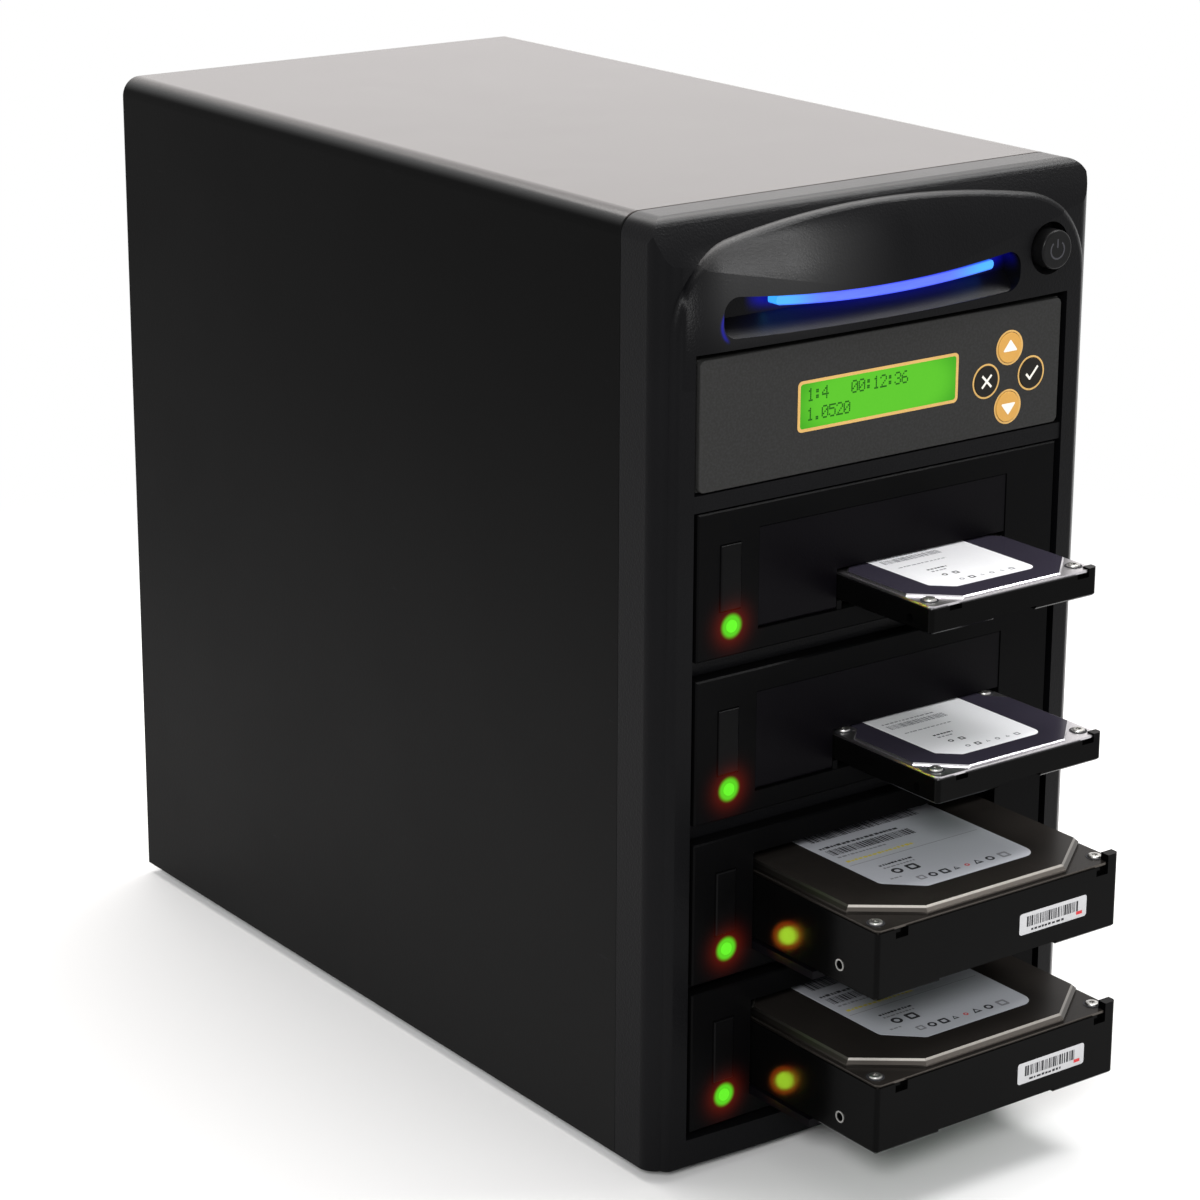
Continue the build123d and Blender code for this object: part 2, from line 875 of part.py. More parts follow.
# The slot at the back of a drive that takes the connector of the backplane.
def cut_connector_slot(span, plug_z):
    span_box(
        connector_left - 0.5,
        connector_right + 0.5,
        span.back - connector_engagement - 0.5,
        span.back + 1,
        plug_z - 0.5,
        plug_z + connector_height + 0.5,
        mode=Mode.SUBTRACT,
    )


# The casting is open above its ledge, where the lid lies, but for a post at its front right corner.
def make_drive_base(label, kind, span, low):
    ledge_z = low + kind.ledge
    top = low + kind.height - slip_gap
    post_width, post_length = kind.post_size
    post_left = span.right - post_width
    with BuildPart() as base:
        span_box(span.left, span.right, span.front, span.back, low, top)
        uprights = base.edges().filter_by(Axis.Z)
        fillet(uprights, 1.5)
        rims = base.faces().sort_by(Axis.Z)[0].edges()
        chamfer(rims, 0.6)
        span_box(span.left - 1, post_left, span.front - 1, span.back + 1, ledge_z, top + 1, mode=Mode.SUBTRACT)
        span_box(
            post_left,
            span.right + 1,
            span.front + post_length,
            span.back + 1,
            ledge_z,
            top + 1,
            mode=Mode.SUBTRACT,
        )
        span_box(
            span.left + board_side,
            span.right - board_side,
            span.front + board_start,
            span.back + 1,
            low - 1,
            low + board_recess,
            mode=Mode.SUBTRACT,
        )
        span_box(
            span.left + foot_pad_width,
            span.right - foot_pad_width,
            span.front - 1,
            span.front + board_start + 1,
            low - 1,
            low + foot_pad_rise,
            mode=Mode.SUBTRACT,
        )
        for x in (span.left + notch_start, post_left - notch_width):
            span_box(
                x,
                x + notch_width,
                span.front - 1,
                span.front + 1.8,
                ledge_z - kind.notch_depth,
                ledge_z + 1,
                mode=Mode.SUBTRACT,
            )
        cut_connector_slot(span, low + connector_lift)
        for step in kind.side_hole_steps:
            y = span.front + step
            z = low + kind.side_hole_rise
            cross_rod(span.left - 1, span.left + 3.0, y, z, hole_radius, mode=Mode.SUBTRACT)
            cross_rod(span.right - 3.0, span.right + 1, y, z, hole_radius, mode=Mode.SUBTRACT)
        with Locations(*[(x, y, ledge_z) for x, y in span.screw_places()]):
            Cylinder(lid_screw_radius + pin_fit, 8.0, mode=Mode.SUBTRACT)
    save(base, label)


# A flange with a raised field, which leaves bays for the six screws at the corners and half way.
def make_drive_lid(label, kind, span, low):
    ledge_z = low + kind.ledge
    cut_in, cut_back = kind.corner_cut
    post_width, post_length = kind.post_size
    x0 = span.left + plateau_inset
    x1 = span.right - plateau_inset
    y0 = span.front + plateau_inset
    y1 = span.back - plateau_inset
    bay_front = (span.front + span.back) / 2 - screw_bay_half
    bay_back = bay_front + 2 * screw_bay_half
    with BuildPart() as lid:
        with BuildSketch(Plane.XY.offset(ledge_z)):
            with Locations(((span.left + span.right) / 2, (span.front + span.back) / 2)):
                RectangleRounded(kind.width - 2 * lid_margin, kind.length - 2 * lid_margin, 2.0)
        extrude(amount=lid_sheet)
        with BuildSketch(Plane.XY.offset(ledge_z + lid_sheet)):
            with BuildLine():
                Polyline(
                    (x0, y0 + cut_back),
                    (x0 + cut_in, y0),
                    (x1 - cut_in, y0),
                    (x1, y0 + cut_back),
                    (x1, bay_front - screw_bay_depth),
                    (x1 - screw_bay_depth, bay_front),
                    (x1 - screw_bay_depth, bay_back),
                    (x1, bay_back + screw_bay_depth),
                    (x1, y1 - cut_back),
                    (x1 - cut_in, y1),
                    (x0 + cut_in, y1),
                    (x0, y1 - cut_back),
                    (x0, bay_back + screw_bay_depth),
                    (x0 + screw_bay_depth, bay_back),
                    (x0 + screw_bay_depth, bay_front),
                    (x0, bay_front - screw_bay_depth),
                    close=True,
                )
            make_face()
        extrude(amount=kind.lid_rise)
        upper_rim = lid.faces().sort_by(Axis.Z)[-1].edges()
        chamfer(upper_rim, 0.6 * kind.lid_rise)
        with Locations(*[(x, y, ledge_z) for x, y in span.screw_places()]):
            Cylinder(lid_screw_radius + slip_gap, 8.0, mode=Mode.SUBTRACT)
        span_box(
            span.right - post_width - slip_gap,
            span.right,
            span.front,
            span.front + post_length + slip_gap,
            ledge_z - 1,
            low + kind.height + 1,
            mode=Mode.SUBTRACT,
        )
    save(lid, label)


def make_drive_screws(label, kind, span, low):
    flange_z = low + kind.ledge + lid_sheet
    head = 0.7 * small_lid_rise + 0.3
    with BuildPart() as screws:
        with Locations(*[(x, y, flange_z + head / 2) for x, y in span.screw_places()]):
            Cylinder(lid_screw_head, head)
        with Locations(*[(x, y, flange_z - 1.5) for x, y in span.screw_places()]):
            Cylinder(lid_screw_radius, 3.0)
    save(screws, label)


def make_drive_board(label, span, low):
    with BuildPart() as board:
        span_box(
            span.left + board_side + slide_gap,
            span.right - board_side - slide_gap,
            span.front + board_start + slide_gap,
            span.back - slide_gap,
            low + board_recess - circuit_board,
            low + board_recess,
        )
        cut_connector_slot(span, low + connector_lift)
    save(board, label)


def make_drive(number, zb, kind, reach):
    span = DriveSpan(kind, reach)
    low = zb + lip_height + drive_lift
    make_drive_base(f"drive_base_{number}", kind, span, low)
    make_drive_lid(f"drive_lid_{number}", kind, span, low)
    make_drive_screws(f"drive_screws_{number}", kind, span, low)
    make_drive_board(f"drive_board_{number}", span, low)


# Case shells
pan_half = half_width - sheet - seat_gap
supply_top = case_top - sheet - supply_drop
supply_z = supply_top - supply_height / 2
supply_front_y = panel_y - supply_depth
fan_places = ((supply_fan_x, supply_z, panel_y - supply_wall), (0.0, case_fan_height, panel_y))
fan_corners = [(dx, dz) for dx in (-fan_pitch / 2, fan_pitch / 2) for dz in (-fan_pitch / 2, fan_pitch / 2)]
supply_screws = [
    (dx, supply_z + dz)
    for dx in (3.5 - supply_width / 2, supply_width / 2 - 3.5)
    for dz in (3.5 - supply_height / 2, supply_height / 2 - 3.5)
]
flange_screws = [
    (side * (half_width - flange_width / 2), z)
    for side in (-1, 1)
    for z in (case_bottom + 30.0, (case_bottom + case_top) / 2, case_top - 30.0)
]
inlet_low = supply_z - inlet_height / 2
inlet_high = supply_z + inlet_height / 2
socket_z = inlet_low + 13.0
rocker_z = inlet_high - 14.0
screw_hole = screw_radius + seat_gap


def make_base_pan():
    with BuildPart() as pan:
        span_box(-pan_half, pan_half, seam_y, panel_y + sheet, case_bottom, case_bottom + sheet)
        for side in (-1, 1):
            x0, x1 = sorted((side * (pan_half - sheet), side * pan_half))
            span_box(x0, x1, seam_y, panel_y - seat_gap, case_bottom, case_bottom + flange_width)
    save(pan, "base_pan")
    inset = 2.5 * foot_radius
    with BuildPart() as feet:
        for x in (-half_width + inset, half_width - inset):
            for y in (seam_y + inset, panel_y - inset):
                with Locations((x, y, foot_height / 2)):
                    Cone(0.85 * foot_radius, foot_radius, foot_height)
    save(feet, "feet")


def make_cover():
    def shell(y, inset):
        with BuildSketch(front_plane(y)) as outline:
            with Locations((0, (case_top + case_bottom - inset) / 2)):
                Rectangle(case_width - 2 * inset, case_height - inset)
            fillet(outline.vertices().group_by(Axis.Y)[-1], case_corner - inset)
        return outline.sketch

    with BuildPart() as cover:
        extrude(shell(rear_y, 0.0), amount=rear_y - seam_y)
        extrude(shell(rear_y, sheet), amount=rear_y - seam_y, mode=Mode.SUBTRACT)
        for side in (-1, 1):
            x0, x1 = sorted((side * (half_width - flange_width), side * (half_width - sheet / 2)))
            span_box(x0, x1, rear_y - sheet, rear_y, case_bottom, case_top - case_corner)
        for x, z in flange_screws:
            rod(x, z, screw_hole, rear_y - 2 * sheet, rear_y + 1, mode=Mode.SUBTRACT)
    save(cover, "outer_cover")


def make_rear_panel():
    with BuildPart() as panel:
        with BuildSketch(front_plane(panel_y + sheet)) as outline:
            low = case_bottom + sheet
            high = case_top - sheet - seat_gap
            with Locations((0, (low + high) / 2)):
                Rectangle(2 * pan_half, high - low)
            fillet(outline.vertices().group_by(Axis.Y)[-1], case_corner)
            for x, z, _ in fan_places:
                with Locations((x, z)):
                    Circle(fan_bore, mode=Mode.SUBTRACT)
                for dx, dz in fan_corners:
                    with Locations((x + dx, z + dz)):
                        Circle(screw_hole, mode=Mode.SUBTRACT)
            for x, z in (*supply_screws, *flange_screws):
                with Locations((x, z)):
                    Circle(screw_hole, mode=Mode.SUBTRACT)
            with Locations((inlet_x, (inlet_low + inlet_high) / 2)):
                Rectangle(inlet_width + 2 * slip_gap, inlet_high - inlet_low + 2 * slip_gap, mode=Mode.SUBTRACT)
            with Locations((0, case_bottom + 30.0)):
                with GridLocations(26.0, 7.0, 5, 5):
                    SlotOverall(20.0, 3.4, mode=Mode.SUBTRACT)
        extrude(amount=sheet)
    save(panel, "rear_panel")


def make_supply():
    half = supply_width / 2
    low = supply_top - supply_height
    with BuildPart() as supply:
        span_box(-half, half, supply_front_y, panel_y, low, supply_top)
        uprights = supply.edges().filter_by(Axis.Y)
        fillet(uprights, 1.5)
        span_box(
            -half + supply_wall,
            half - supply_wall,
            supply_front_y + supply_wall,
            panel_y - supply_wall,
            low + supply_wall,
            supply_top - supply_wall,
            mode=Mode.SUBTRACT,
        )
        rod(supply_fan_x, supply_z, fan_bore, panel_y - 2, panel_y + 1, mode=Mode.SUBTRACT)
        for dx, dz in fan_corners:
            rod(supply_fan_x + dx, supply_z + dz, screw_hole, panel_y - 2, panel_y + 1, mode=Mode.SUBTRACT)
        for x, z in supply_screws:
            rod(x, z, screw_hole, panel_y - 2, panel_y + 1, mode=Mode.SUBTRACT)
        with Locations((inlet_x, panel_y, supply_z)):
            Box(
                inlet_width + 2 * slip_gap,
                4 * supply_wall,
                inlet_high - inlet_low + 2 * slip_gap,
                mode=Mode.SUBTRACT,
            )
        with BuildSketch(front_plane(supply_front_y + 2)):
            with Locations((0, supply_z)):
                with GridLocations(44.0, 14.0, 3, 4):
                    SlotOverall(34.0, 5.0)
        extrude(amount=4, mode=Mode.SUBTRACT)
    save(supply, "supply_case")


# Power inlet and its rocker switch
rocker_y = panel_y - 2.0
rocker_pin_radius = 1.4
module_front_y = panel_y - socket_depth - 3.0


def make_inlet():
    half = inlet_width / 2
    well_half = rocker_radius + slide_gap
    with BuildPart() as inlet:
        span_box(inlet_x - half, inlet_x + half, module_front_y, panel_y + sheet, inlet_low, inlet_high)
        span_box(
            inlet_x - half - 1.5,
            inlet_x + half + 1.5,
            panel_y + sheet,
            panel_y + 1.8 * sheet,
            inlet_low - 1.5,
            inlet_high + 1.5,
        )
        with BuildSketch(front_plane(panel_y + 2)) as socket:
            with Locations((inlet_x, socket_z)):
                Rectangle(socket_width, socket_height)
            chamfer(socket.vertices().group_by(Axis.Y)[-1], 4.0)
        extrude(amount=socket_depth + 2, mode=Mode.SUBTRACT)
        for dx, dz in ((-7.0, 0.0), (0.0, 4.0), (7.0, 0.0)):
            with Locations((inlet_x + dx, panel_y - socket_depth / 2 - 1.0, socket_z + dz)):
                Box(2.0, socket_depth, 4.0)
        span_box(
            inlet_x - rocker_width / 2 - slide_gap,
            inlet_x + rocker_width / 2 + slide_gap,
            rocker_y - 6.0,
            panel_y + 3,
            rocker_z - well_half,
            rocker_z + well_half,
            mode=Mode.SUBTRACT,
        )
        reach = rocker_width / 2 + slide_gap + 2.0
        cross_rod(
            inlet_x - reach, inlet_x + reach, rocker_y, rocker_z, rocker_pin_radius + pin_fit, mode=Mode.SUBTRACT
        )
    save(inlet, "supply_inlet")


def make_rocker():
    tilt = radians(rocker_throw)
    rise = rocker_radius * sin(tilt)
    plane = Plane(origin=(inlet_x, rocker_y, rocker_z), x_dir=(0, cos(tilt), sin(tilt)), z_dir=(1, 0, 0))
    with BuildPart() as rocker:
        with BuildSketch(plane):
            with BuildLine():
                Polyline(
                    (-3.5, -rocker_radius),
                    (3.0 + rise, -rocker_radius),
                    (3.0, 0),
                    (3.0 + rise, rocker_radius),
                    (-3.5, rocker_radius),
                    close=True,
                )
            make_face()
            Circle(rocker_radius, mode=Mode.INTERSECT)
        extrude(amount=rocker_width / 2, both=True)
        pin_end = rocker_width / 2 + slide_gap + 1.7
        cross_rod(inlet_x - pin_end, inlet_x + pin_end, rocker_y, rocker_z, rocker_pin_radius)
    save(rocker, "supply_rocker")


# Fans
hub_plate = 2.0
rotor_gap = 0.6


def make_fan_frames():
    half = fan_size / 2
    with BuildPart() as frames:
        for x, z, back in fan_places:
            front = back - fan_depth
            span_box(x - half, x + half, front, back, z - half, z + half)
        uprights = frames.edges().filter_by(Axis.Y)
        fillet(uprights, 4.0)
        for x, z, back in fan_places:
            front = back - fan_depth
            rod(x, z, fan_bore, front - 1, back + 1, mode=Mode.SUBTRACT)
            for dx, dz in fan_corners:
                rod(x + dx, z + dz, screw_hole, front - 1, back + 1, mode=Mode.SUBTRACT)
            rod(x, z, hub_radius, front, front + hub_plate)
            rod(x, z, fan_pin_radius, front, back - hub_plate)
            for turn in range(4):
                angle = radians(45 + 90 * turn)
                middle = (hub_radius + fan_bore) / 2
                with Locations(
                    Location(
                        (x + middle * cos(angle), front + hub_plate / 2, z + middle * sin(angle)),
                        (0, -45 - 90 * turn, 0),
                    )
                ):
                    Box(fan_bore - hub_radius + 2.0, hub_plate, 4.0)
    save(frames, "fan_frames")


def make_rotor(label, place):
    x, z, back = place
    front = back - fan_depth + hub_plate + rotor_gap
    rear = back - hub_plate
    blade_reach = fan_bore - blade_gap
    pitch = radians(35)
    middle = (hub_radius + blade_reach) / 2
    with BuildPart() as rotor:
        rod(x, z, hub_radius, front, rear)
        for turn in range(blade_count):
            angle = 2 * pi * turn / blade_count
            outward = (cos(angle), 0, sin(angle))
            normal = (-sin(angle) * cos(pitch), sin(pitch), cos(angle) * cos(pitch))
            place_of_blade = Plane(
                origin=(x + middle * outward[0], (front + rear) / 2, z + middle * outward[2]),
                x_dir=outward,
                z_dir=normal,
            )
            with Locations(place_of_blade):
                Box(blade_reach - hub_radius + 4.0, 20.0, 1.4)
        rod(x, z, blade_reach, front, rear, mode=Mode.INTERSECT)
        rod(x, z, fan_pin_radius + pin_fit, front - 1, rear + 1, mode=Mode.SUBTRACT)
    save(rotor, label)


def make_fan_guards():
    wire_y = panel_y + sheet + seat_gap + spoke_radius
    ear_back = panel_y + sheet + ear_thickness
    corner = fan_pitch / 2 * 2**0.5
    rings = (11.0, 18.0, 25.0, 32.0)
    with BuildPart() as guards:
        for x, z, _ in fan_places:
            for radius in rings:
                with Locations((x, wire_y, z)):
                    Torus(radius, wire_radius, rotation=(90, 0, 0))
            for turn in range(4):
                angle = radians(45 + 90 * turn)
                inner = rings[0] - wire_radius
                outer = corner - screw_head_radius - slide_gap
                middle = (inner + outer) / 2
                with Locations(
                    Location(
                        (x + middle * cos(angle), wire_y, z + middle * sin(angle)),
                        (0, 90 - 45 - 90 * turn, 0),
                    )
                ):
                    Cylinder(spoke_radius, outer - inner)
            for dx, dz in fan_corners:
                rod(x + dx, z + dz, screw_head_radius + 1.0, panel_y + sheet, ear_back)
                rod(x + dx, z + dz, screw_hole, panel_y, ear_back + 1, mode=Mode.SUBTRACT)
    save(guards, "fan_guards")


def make_case_screws():
    with BuildPart() as screws:
        for x, z in flange_screws:
            rod(x, z, screw_radius, panel_y - 5.0, rear_y)
            rod(x, z, screw_head_radius, rear_y, rear_y + screw_head_height)
        for x, z in supply_screws:
            rod(x, z, screw_radius, panel_y - 5.0, panel_y + sheet)
            rod(x, z, screw_head_radius, panel_y + sheet, panel_y + sheet + screw_head_height)
        for x, z, _ in fan_places:
            head_y = panel_y + sheet + ear_thickness
            for dx, dz in fan_corners:
                rod(x + dx, z + dz, screw_radius, panel_y - 8.0, head_y)
                rod(x + dx, z + dz, screw_head_radius, head_y, head_y + screw_head_height)
    save(screws, "case_screws")


make_front_bezel()
make_light_parts()
make_power_button()
make_fascia()
make_panel_parts()
make_controller_board()
make_cage()
for index, (rack_bottom, reach) in enumerate(zip(rack_bottoms, drive_reaches)):
    holds_small = index < 2
    make_rack_bezel(index + 1, rack_bottom, holds_small)
    make_door(index + 1, rack_bottom, holds_small)
    make_release_key(index + 1, rack_bottom)
    make_housing(index + 1, rack_bottom)
    make_drive(index + 1, rack_bottom, small_kind if holds_small else large_kind, reach)
make_lenses()
make_backplanes()
make_base_pan()
make_cover()
make_rear_panel()
make_supply()
make_inlet()
make_rocker()
make_fan_frames()
make_rotor("supply_fan_rotor", fan_places[0])
make_rotor("case_fan_rotor", fan_places[1])
make_fan_guards()
make_case_screws()
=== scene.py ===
import json
import math
import random

import bmesh
import bpy
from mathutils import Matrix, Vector


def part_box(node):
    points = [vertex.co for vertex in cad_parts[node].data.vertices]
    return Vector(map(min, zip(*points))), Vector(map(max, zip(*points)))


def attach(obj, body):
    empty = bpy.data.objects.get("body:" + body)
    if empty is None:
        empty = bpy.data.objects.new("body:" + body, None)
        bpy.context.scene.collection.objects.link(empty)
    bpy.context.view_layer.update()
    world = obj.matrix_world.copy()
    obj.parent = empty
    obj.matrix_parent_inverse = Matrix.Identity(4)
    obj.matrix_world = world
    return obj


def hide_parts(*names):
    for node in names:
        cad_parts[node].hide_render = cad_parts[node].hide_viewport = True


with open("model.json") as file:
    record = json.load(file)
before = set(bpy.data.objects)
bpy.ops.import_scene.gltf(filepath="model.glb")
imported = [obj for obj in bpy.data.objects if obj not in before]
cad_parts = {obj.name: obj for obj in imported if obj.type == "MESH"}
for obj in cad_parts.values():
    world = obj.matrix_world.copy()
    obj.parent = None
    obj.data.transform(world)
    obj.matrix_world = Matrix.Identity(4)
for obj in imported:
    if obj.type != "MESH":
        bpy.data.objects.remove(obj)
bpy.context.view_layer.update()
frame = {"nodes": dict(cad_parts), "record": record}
nodes = frame["nodes"]
mm = 0.001  # sizes in the dictionaries are in millimetres, colours are written as on screen
print("frame loaded with", len(nodes), "nodes")


# Shader kit

class Wire:
    # a socket in an expression, where each operator adds one Math node
    def __init__(self, graph, socket):
        self.graph = graph
        self.socket = socket

    def join(self, operation, first, second):
        return self.graph.add("Math", {"operation": operation}, {0: first, 1: second})

    def __add__(self, other):
        return self.join("ADD", self, other)

    def __sub__(self, other):
        return self.join("SUBTRACT", self, other)

    def __rsub__(self, other):
        return self.join("SUBTRACT", other, self)

    def __mul__(self, other):
        return self.join("MULTIPLY", self, other)

    __radd__ = __add__
    __rmul__ = __mul__

    def other(self, index):
        return Wire(self.graph, self.socket.node.outputs[index])


class Graph:
    # the nodes of a material or of the world
    def __init__(self, tree):
        self.tree = tree

    def add(self, kind, settings=None, sockets=None, out=0):
        node = self.tree.nodes.new("ShaderNode" + kind)
        for name, value in (settings or {}).items():
            setattr(node, name, value)
        for key, value in (sockets or {}).items():
            self.give(node.inputs[key], value)
        return Wire(self, node.outputs[out]) if node.outputs else None

    def give(self, socket, value):
        if isinstance(value, Wire):
            self.tree.links.new(value.socket, socket)
        else:
            socket.default_value = value

    def spot(self):
        return self.add("TexCoord", out=3)

    def axes(self):
        across = self.add("SeparateXYZ", sockets={0: self.spot()})
        return across, across.other(1), across.other(2)

    def facing(self, axis):
        normal = self.add("NewGeometry", out=1)
        return self.add("SeparateXYZ", sockets={0: normal}).other(axis)

    def noise(self, size, detail=2.0, spot=None, rough=0.5):
        sockets = {"Scale": 1 / (size * mm), "Detail": detail, "Roughness": rough}
        sockets["Vector"] = spot or self.spot()
        return self.add("TexNoise", sockets=sockets)

    def cells(self, size, spot=None, feature="F1"):
        sockets = {"Scale": 1 / (size * mm), "Vector": spot or self.spot()}
        return self.add("TexVoronoi", {"feature": feature}, sockets)

    def stretch(self, x, y, z):
        return self.add("Mapping", sockets={"Vector": self.spot(), "Scale": (x, y, z)})

    def fade(self, value, start, end, low=0.0, high=1.0):
        # a soft step as the value goes from start to end
        sockets = {"Value": value, "From Min": start, "From Max": end}
        sockets.update({"To Min": low, "To Max": high})
        return self.add("MapRange", {"interpolation_type": "SMOOTHSTEP"}, sockets)

    def within(self, value, limits, unit=mm):
        return self.fade(value, limits[0] * unit, limits[1] * unit)

    def tint(self, amount, first, second):
        return self.add("Mix", {"data_type": "RGBA"}, {0: amount, 6: first, 7: second}, out=2)

    def bump(self, height, depth, under=None):
        sockets = {"Height": height, "Distance": depth * mm, "Strength": 1.0}
        if under:
            sockets["Normal"] = under
        return self.add("Bump", sockets=sockets)

    def falloff(self, squares, radius):
        # a bell curve of a squared distance
        power = squares * (-1 / (radius * mm) ** 2)
        return self.add("Math", {"operation": "EXPONENT"}, {0: power})


class Finish(Graph):
    # one material with a Principled shader
    def __init__(self, name, fixed=None):
        self.material = bpy.data.materials.new(name)
        self.material.use_nodes = True
        super().__init__(self.material.node_tree)
        self.shader = self.tree.nodes["Principled BSDF"]
        for key, value in (fixed or {}).items():
            self.shader.inputs[key].default_value = value

    def set(self, key, value):
        self.give(self.shader.inputs[key], value)

    def shine(self, colour, strength):
        self.set("Emission Color", colour)
        self.shader.inputs["Emission Strength"].default_value = strength


def paint(code):
    # a colour as it is picked on screen, turned into linear light
    parts = [int(code[start:start + 2], 16) / 255 for start in (0, 2, 4)]
    linear = [c / 12.92 if c <= 0.04045 else ((c + 0.055) / 1.055) ** 2.4 for c in parts]
    return (*linear, 1.0)


# Places read from the frame

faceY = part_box("rack_bezel_1")[0].y
lensLow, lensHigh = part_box("status_lenses")
lampX = (lensLow.x + lensHigh.x) / 2
lampRise = 9.7 * mm  # lamp centre above the rack's lower edge
rackBottoms = [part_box(f"rack_bezel_{number}")[0].z for number in range(1, 5)]
lampPlaces = [(lampX, bottom + lampRise) for bottom in rackBottoms]
barLow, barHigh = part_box("light_bar")


# Finishes

def swell(finish, look):
    # the crown's field turns back toward its left and upper rims, and has more gloss there
    x, y, z = finish.axes()
    leftward = finish.add("Math", {"operation": "MAXIMUM"}, {0: look["turnX"] * mm - x, 1: 0.0})
    upwards = finish.add("Math", {"operation": "MAXIMUM"}, {0: z - look["turnZ"] * mm, 1: 0.0})
    leftPart = finish.within(x, look["leftPart"])
    fall = leftward * leftward * (0.5 / (look["radiusX"] * mm))
    fall = fall + upwards * upwards * leftPart * (0.5 / (look["radiusZ"] * mm))
    turned = finish.add("Bump", sockets={"Height": 0 - fall, "Distance": 1.0, "Strength": 1.0})
    plain = finish.add("NewGeometry", out=1)
    front = finish.fade(y, faceY + look["depth"] * mm, faceY)
    field = finish.within(x, look["fieldX"]) * finish.within(z, look["fieldZ"]) * front
    gloss = finish.within(x, look["glossX"]) * finish.within(z, look["glossZ"]) * front * leftPart
    turning = finish.add("Mix", {"data_type": "VECTOR"}, {0: field, 4: plain, 5: turned}, out=1)
    return turning, gloss * look["sheen"]


crownLook = {"turnX": -66, "radiusX": 20, "turnZ": 268, "radiusZ": 44, "leftPart": (10, -40),
             "depth": 4, "fieldX": (-81.5, -79), "fieldZ": (260, 262), "glossX": (-80, -60),
             "glossZ": (266, 290), "sheen": 0.5}
grainMix = {"pitSize": 1.7, "pitDepth": 0.6, "gloss": 0.08}


def grainPlastic(name, look):
    # moulded black plastic with an eroded grain and uneven gloss
    finish = Finish(name, {"Specular IOR Level": look["specular"]})
    spot = finish.spot()
    cloud = finish.noise(look["cloud"], 3.0, spot)
    grain = finish.noise(look["grain"], 2.0, spot)
    pits = finish.cells(look["grain"] * grainMix["pitSize"], spot)
    under, crown = swell(finish, look["crown"]) if "crown" in look else (None, 0)
    if "sheen" in look:  # bright on faces that look up and on edges that look right
        finish.shader.inputs["Coat Roughness"].default_value = look["sheenRoughness"]
        finish.shader.inputs["Coat IOR"].default_value = look["sheenBend"]
        rightward = finish.facing(0)
        edge = finish.within(rightward, look["edgeFrom"], 1)
        edge = edge * finish.within(rightward, look["edgeTo"], 1)
        upper = finish.within(finish.facing(2), look["upper"], 1)
        finish.set("Coat Weight", upper * look["sheen"] + edge * look["edgeSheen"] + crown)
    finish.set("Base Color", finish.tint(cloud, paint(look["colour"]), paint(look["faded"])))
    uneven = (cloud - 0.5) * look["patches"] + grain * grainMix["gloss"]
    finish.set("Roughness", uneven + look["roughness"])
    finish.set("Normal", finish.bump(grain + pits * grainMix["pitDepth"], look["depth"], under))
    return finish


bezelLook = {"colour": "050506", "faded": "08080a", "specular": 0.08, "cloud": 35, "grain": 0.55,
             "patches": 0.12, "roughness": 0.33, "depth": 0.06, "sheen": 0.55, "upper": (0.6, 0.98),
             "sheenRoughness": 0.36, "sheenBend": 1.6, "edgeSheen": 0.5, "edgeFrom": (0.2, 0.5),
             "edgeTo": (0.97, 0.85), "crown": crownLook}
rackLook = {"colour": "040404", "faded": "070708", "specular": 0.03, "cloud": 28, "grain": 0.4,
            "patches": 0.14, "roughness": 0.36, "depth": 0.028}
doorLook = {"colour": "050406", "faded": "09080b", "specular": 0.04, "cloud": 22, "grain": 0.45,
            "patches": 0.16, "roughness": 0.34, "depth": 0.03}
releaseLook = {"colour": "060606", "faded": "0a0a0b", "specular": 0.05, "cloud": 9, "grain": 0.3,
               "patches": 0.2, "roughness": 0.3, "depth": 0.015}
fanLook = {"colour": "131314", "faded": "1a1a1b", "specular": 0.4, "cloud": 20, "grain": 0.6,
           "patches": 0.1, "roughness": 0.42, "depth": 0.03}
buttonLook = {"colour": "090909", "faded": "0e0e0f", "specular": 0.12, "cloud": 6, "grain": 0.35,
              "patches": 0.12, "roughness": 0.3, "depth": 0.015}
switchLook = {"colour": "121213", "faded": "1b1b1c", "specular": 0.45, "cloud": 8, "grain": 0.5,
              "patches": 0.15, "roughness": 0.33, "depth": 0.02}
rubberLook = {"colour": "151515", "faded": "202020", "specular": 0.25, "cloud": 5, "grain": 0.7,
              "patches": 0.1, "roughness": 0.75, "depth": 0.06}
lampGlowLook = {"core": "5bd321", "halo": "6a1605", "coreSize": 3.7, "haloSize": 5.4,
                "sharp": (0.2, 0.55)}
barGlowLook = {"colour": "0a0a9c", "height": 2.4, "sag": 2.4, "middle": 1.6, "power": 0.8,
               "inside": (-1, 3), "ends": (1.1, 1.5), "endX": -60.8, "endZ": 278.7,
               "endRadius": 5.75, "endWidth": 0.55, "endPart": (-2.5, -5)}
noLight = (0, 0, 0, 1)


def addLampGlow(finish):
    # the light that each status lamp throws on the plastic round it
    look = lampGlowLook
    x, y, z = finish.axes()
    core = halo = None
    for lampAcross, lampUp in lampPlaces:
        dx = x - lampAcross
        dz = z - lampUp
        squares = dx * dx + dz * dz
        near = finish.falloff(squares, look["coreSize"])
        wide = finish.falloff(squares, look["haloSize"])
        core = near if core is None else core + near
        halo = wide if halo is None else halo + wide
    front = finish.fade(y, faceY + 3 * mm, faceY)
    reddened = finish.tint(halo * front, noLight, paint(look["halo"]))
    sharpCore = finish.within(core * front, look["sharp"], 1)
    finish.shine(finish.tint(sharpCore, reddened, paint(look["core"])), 1.0)


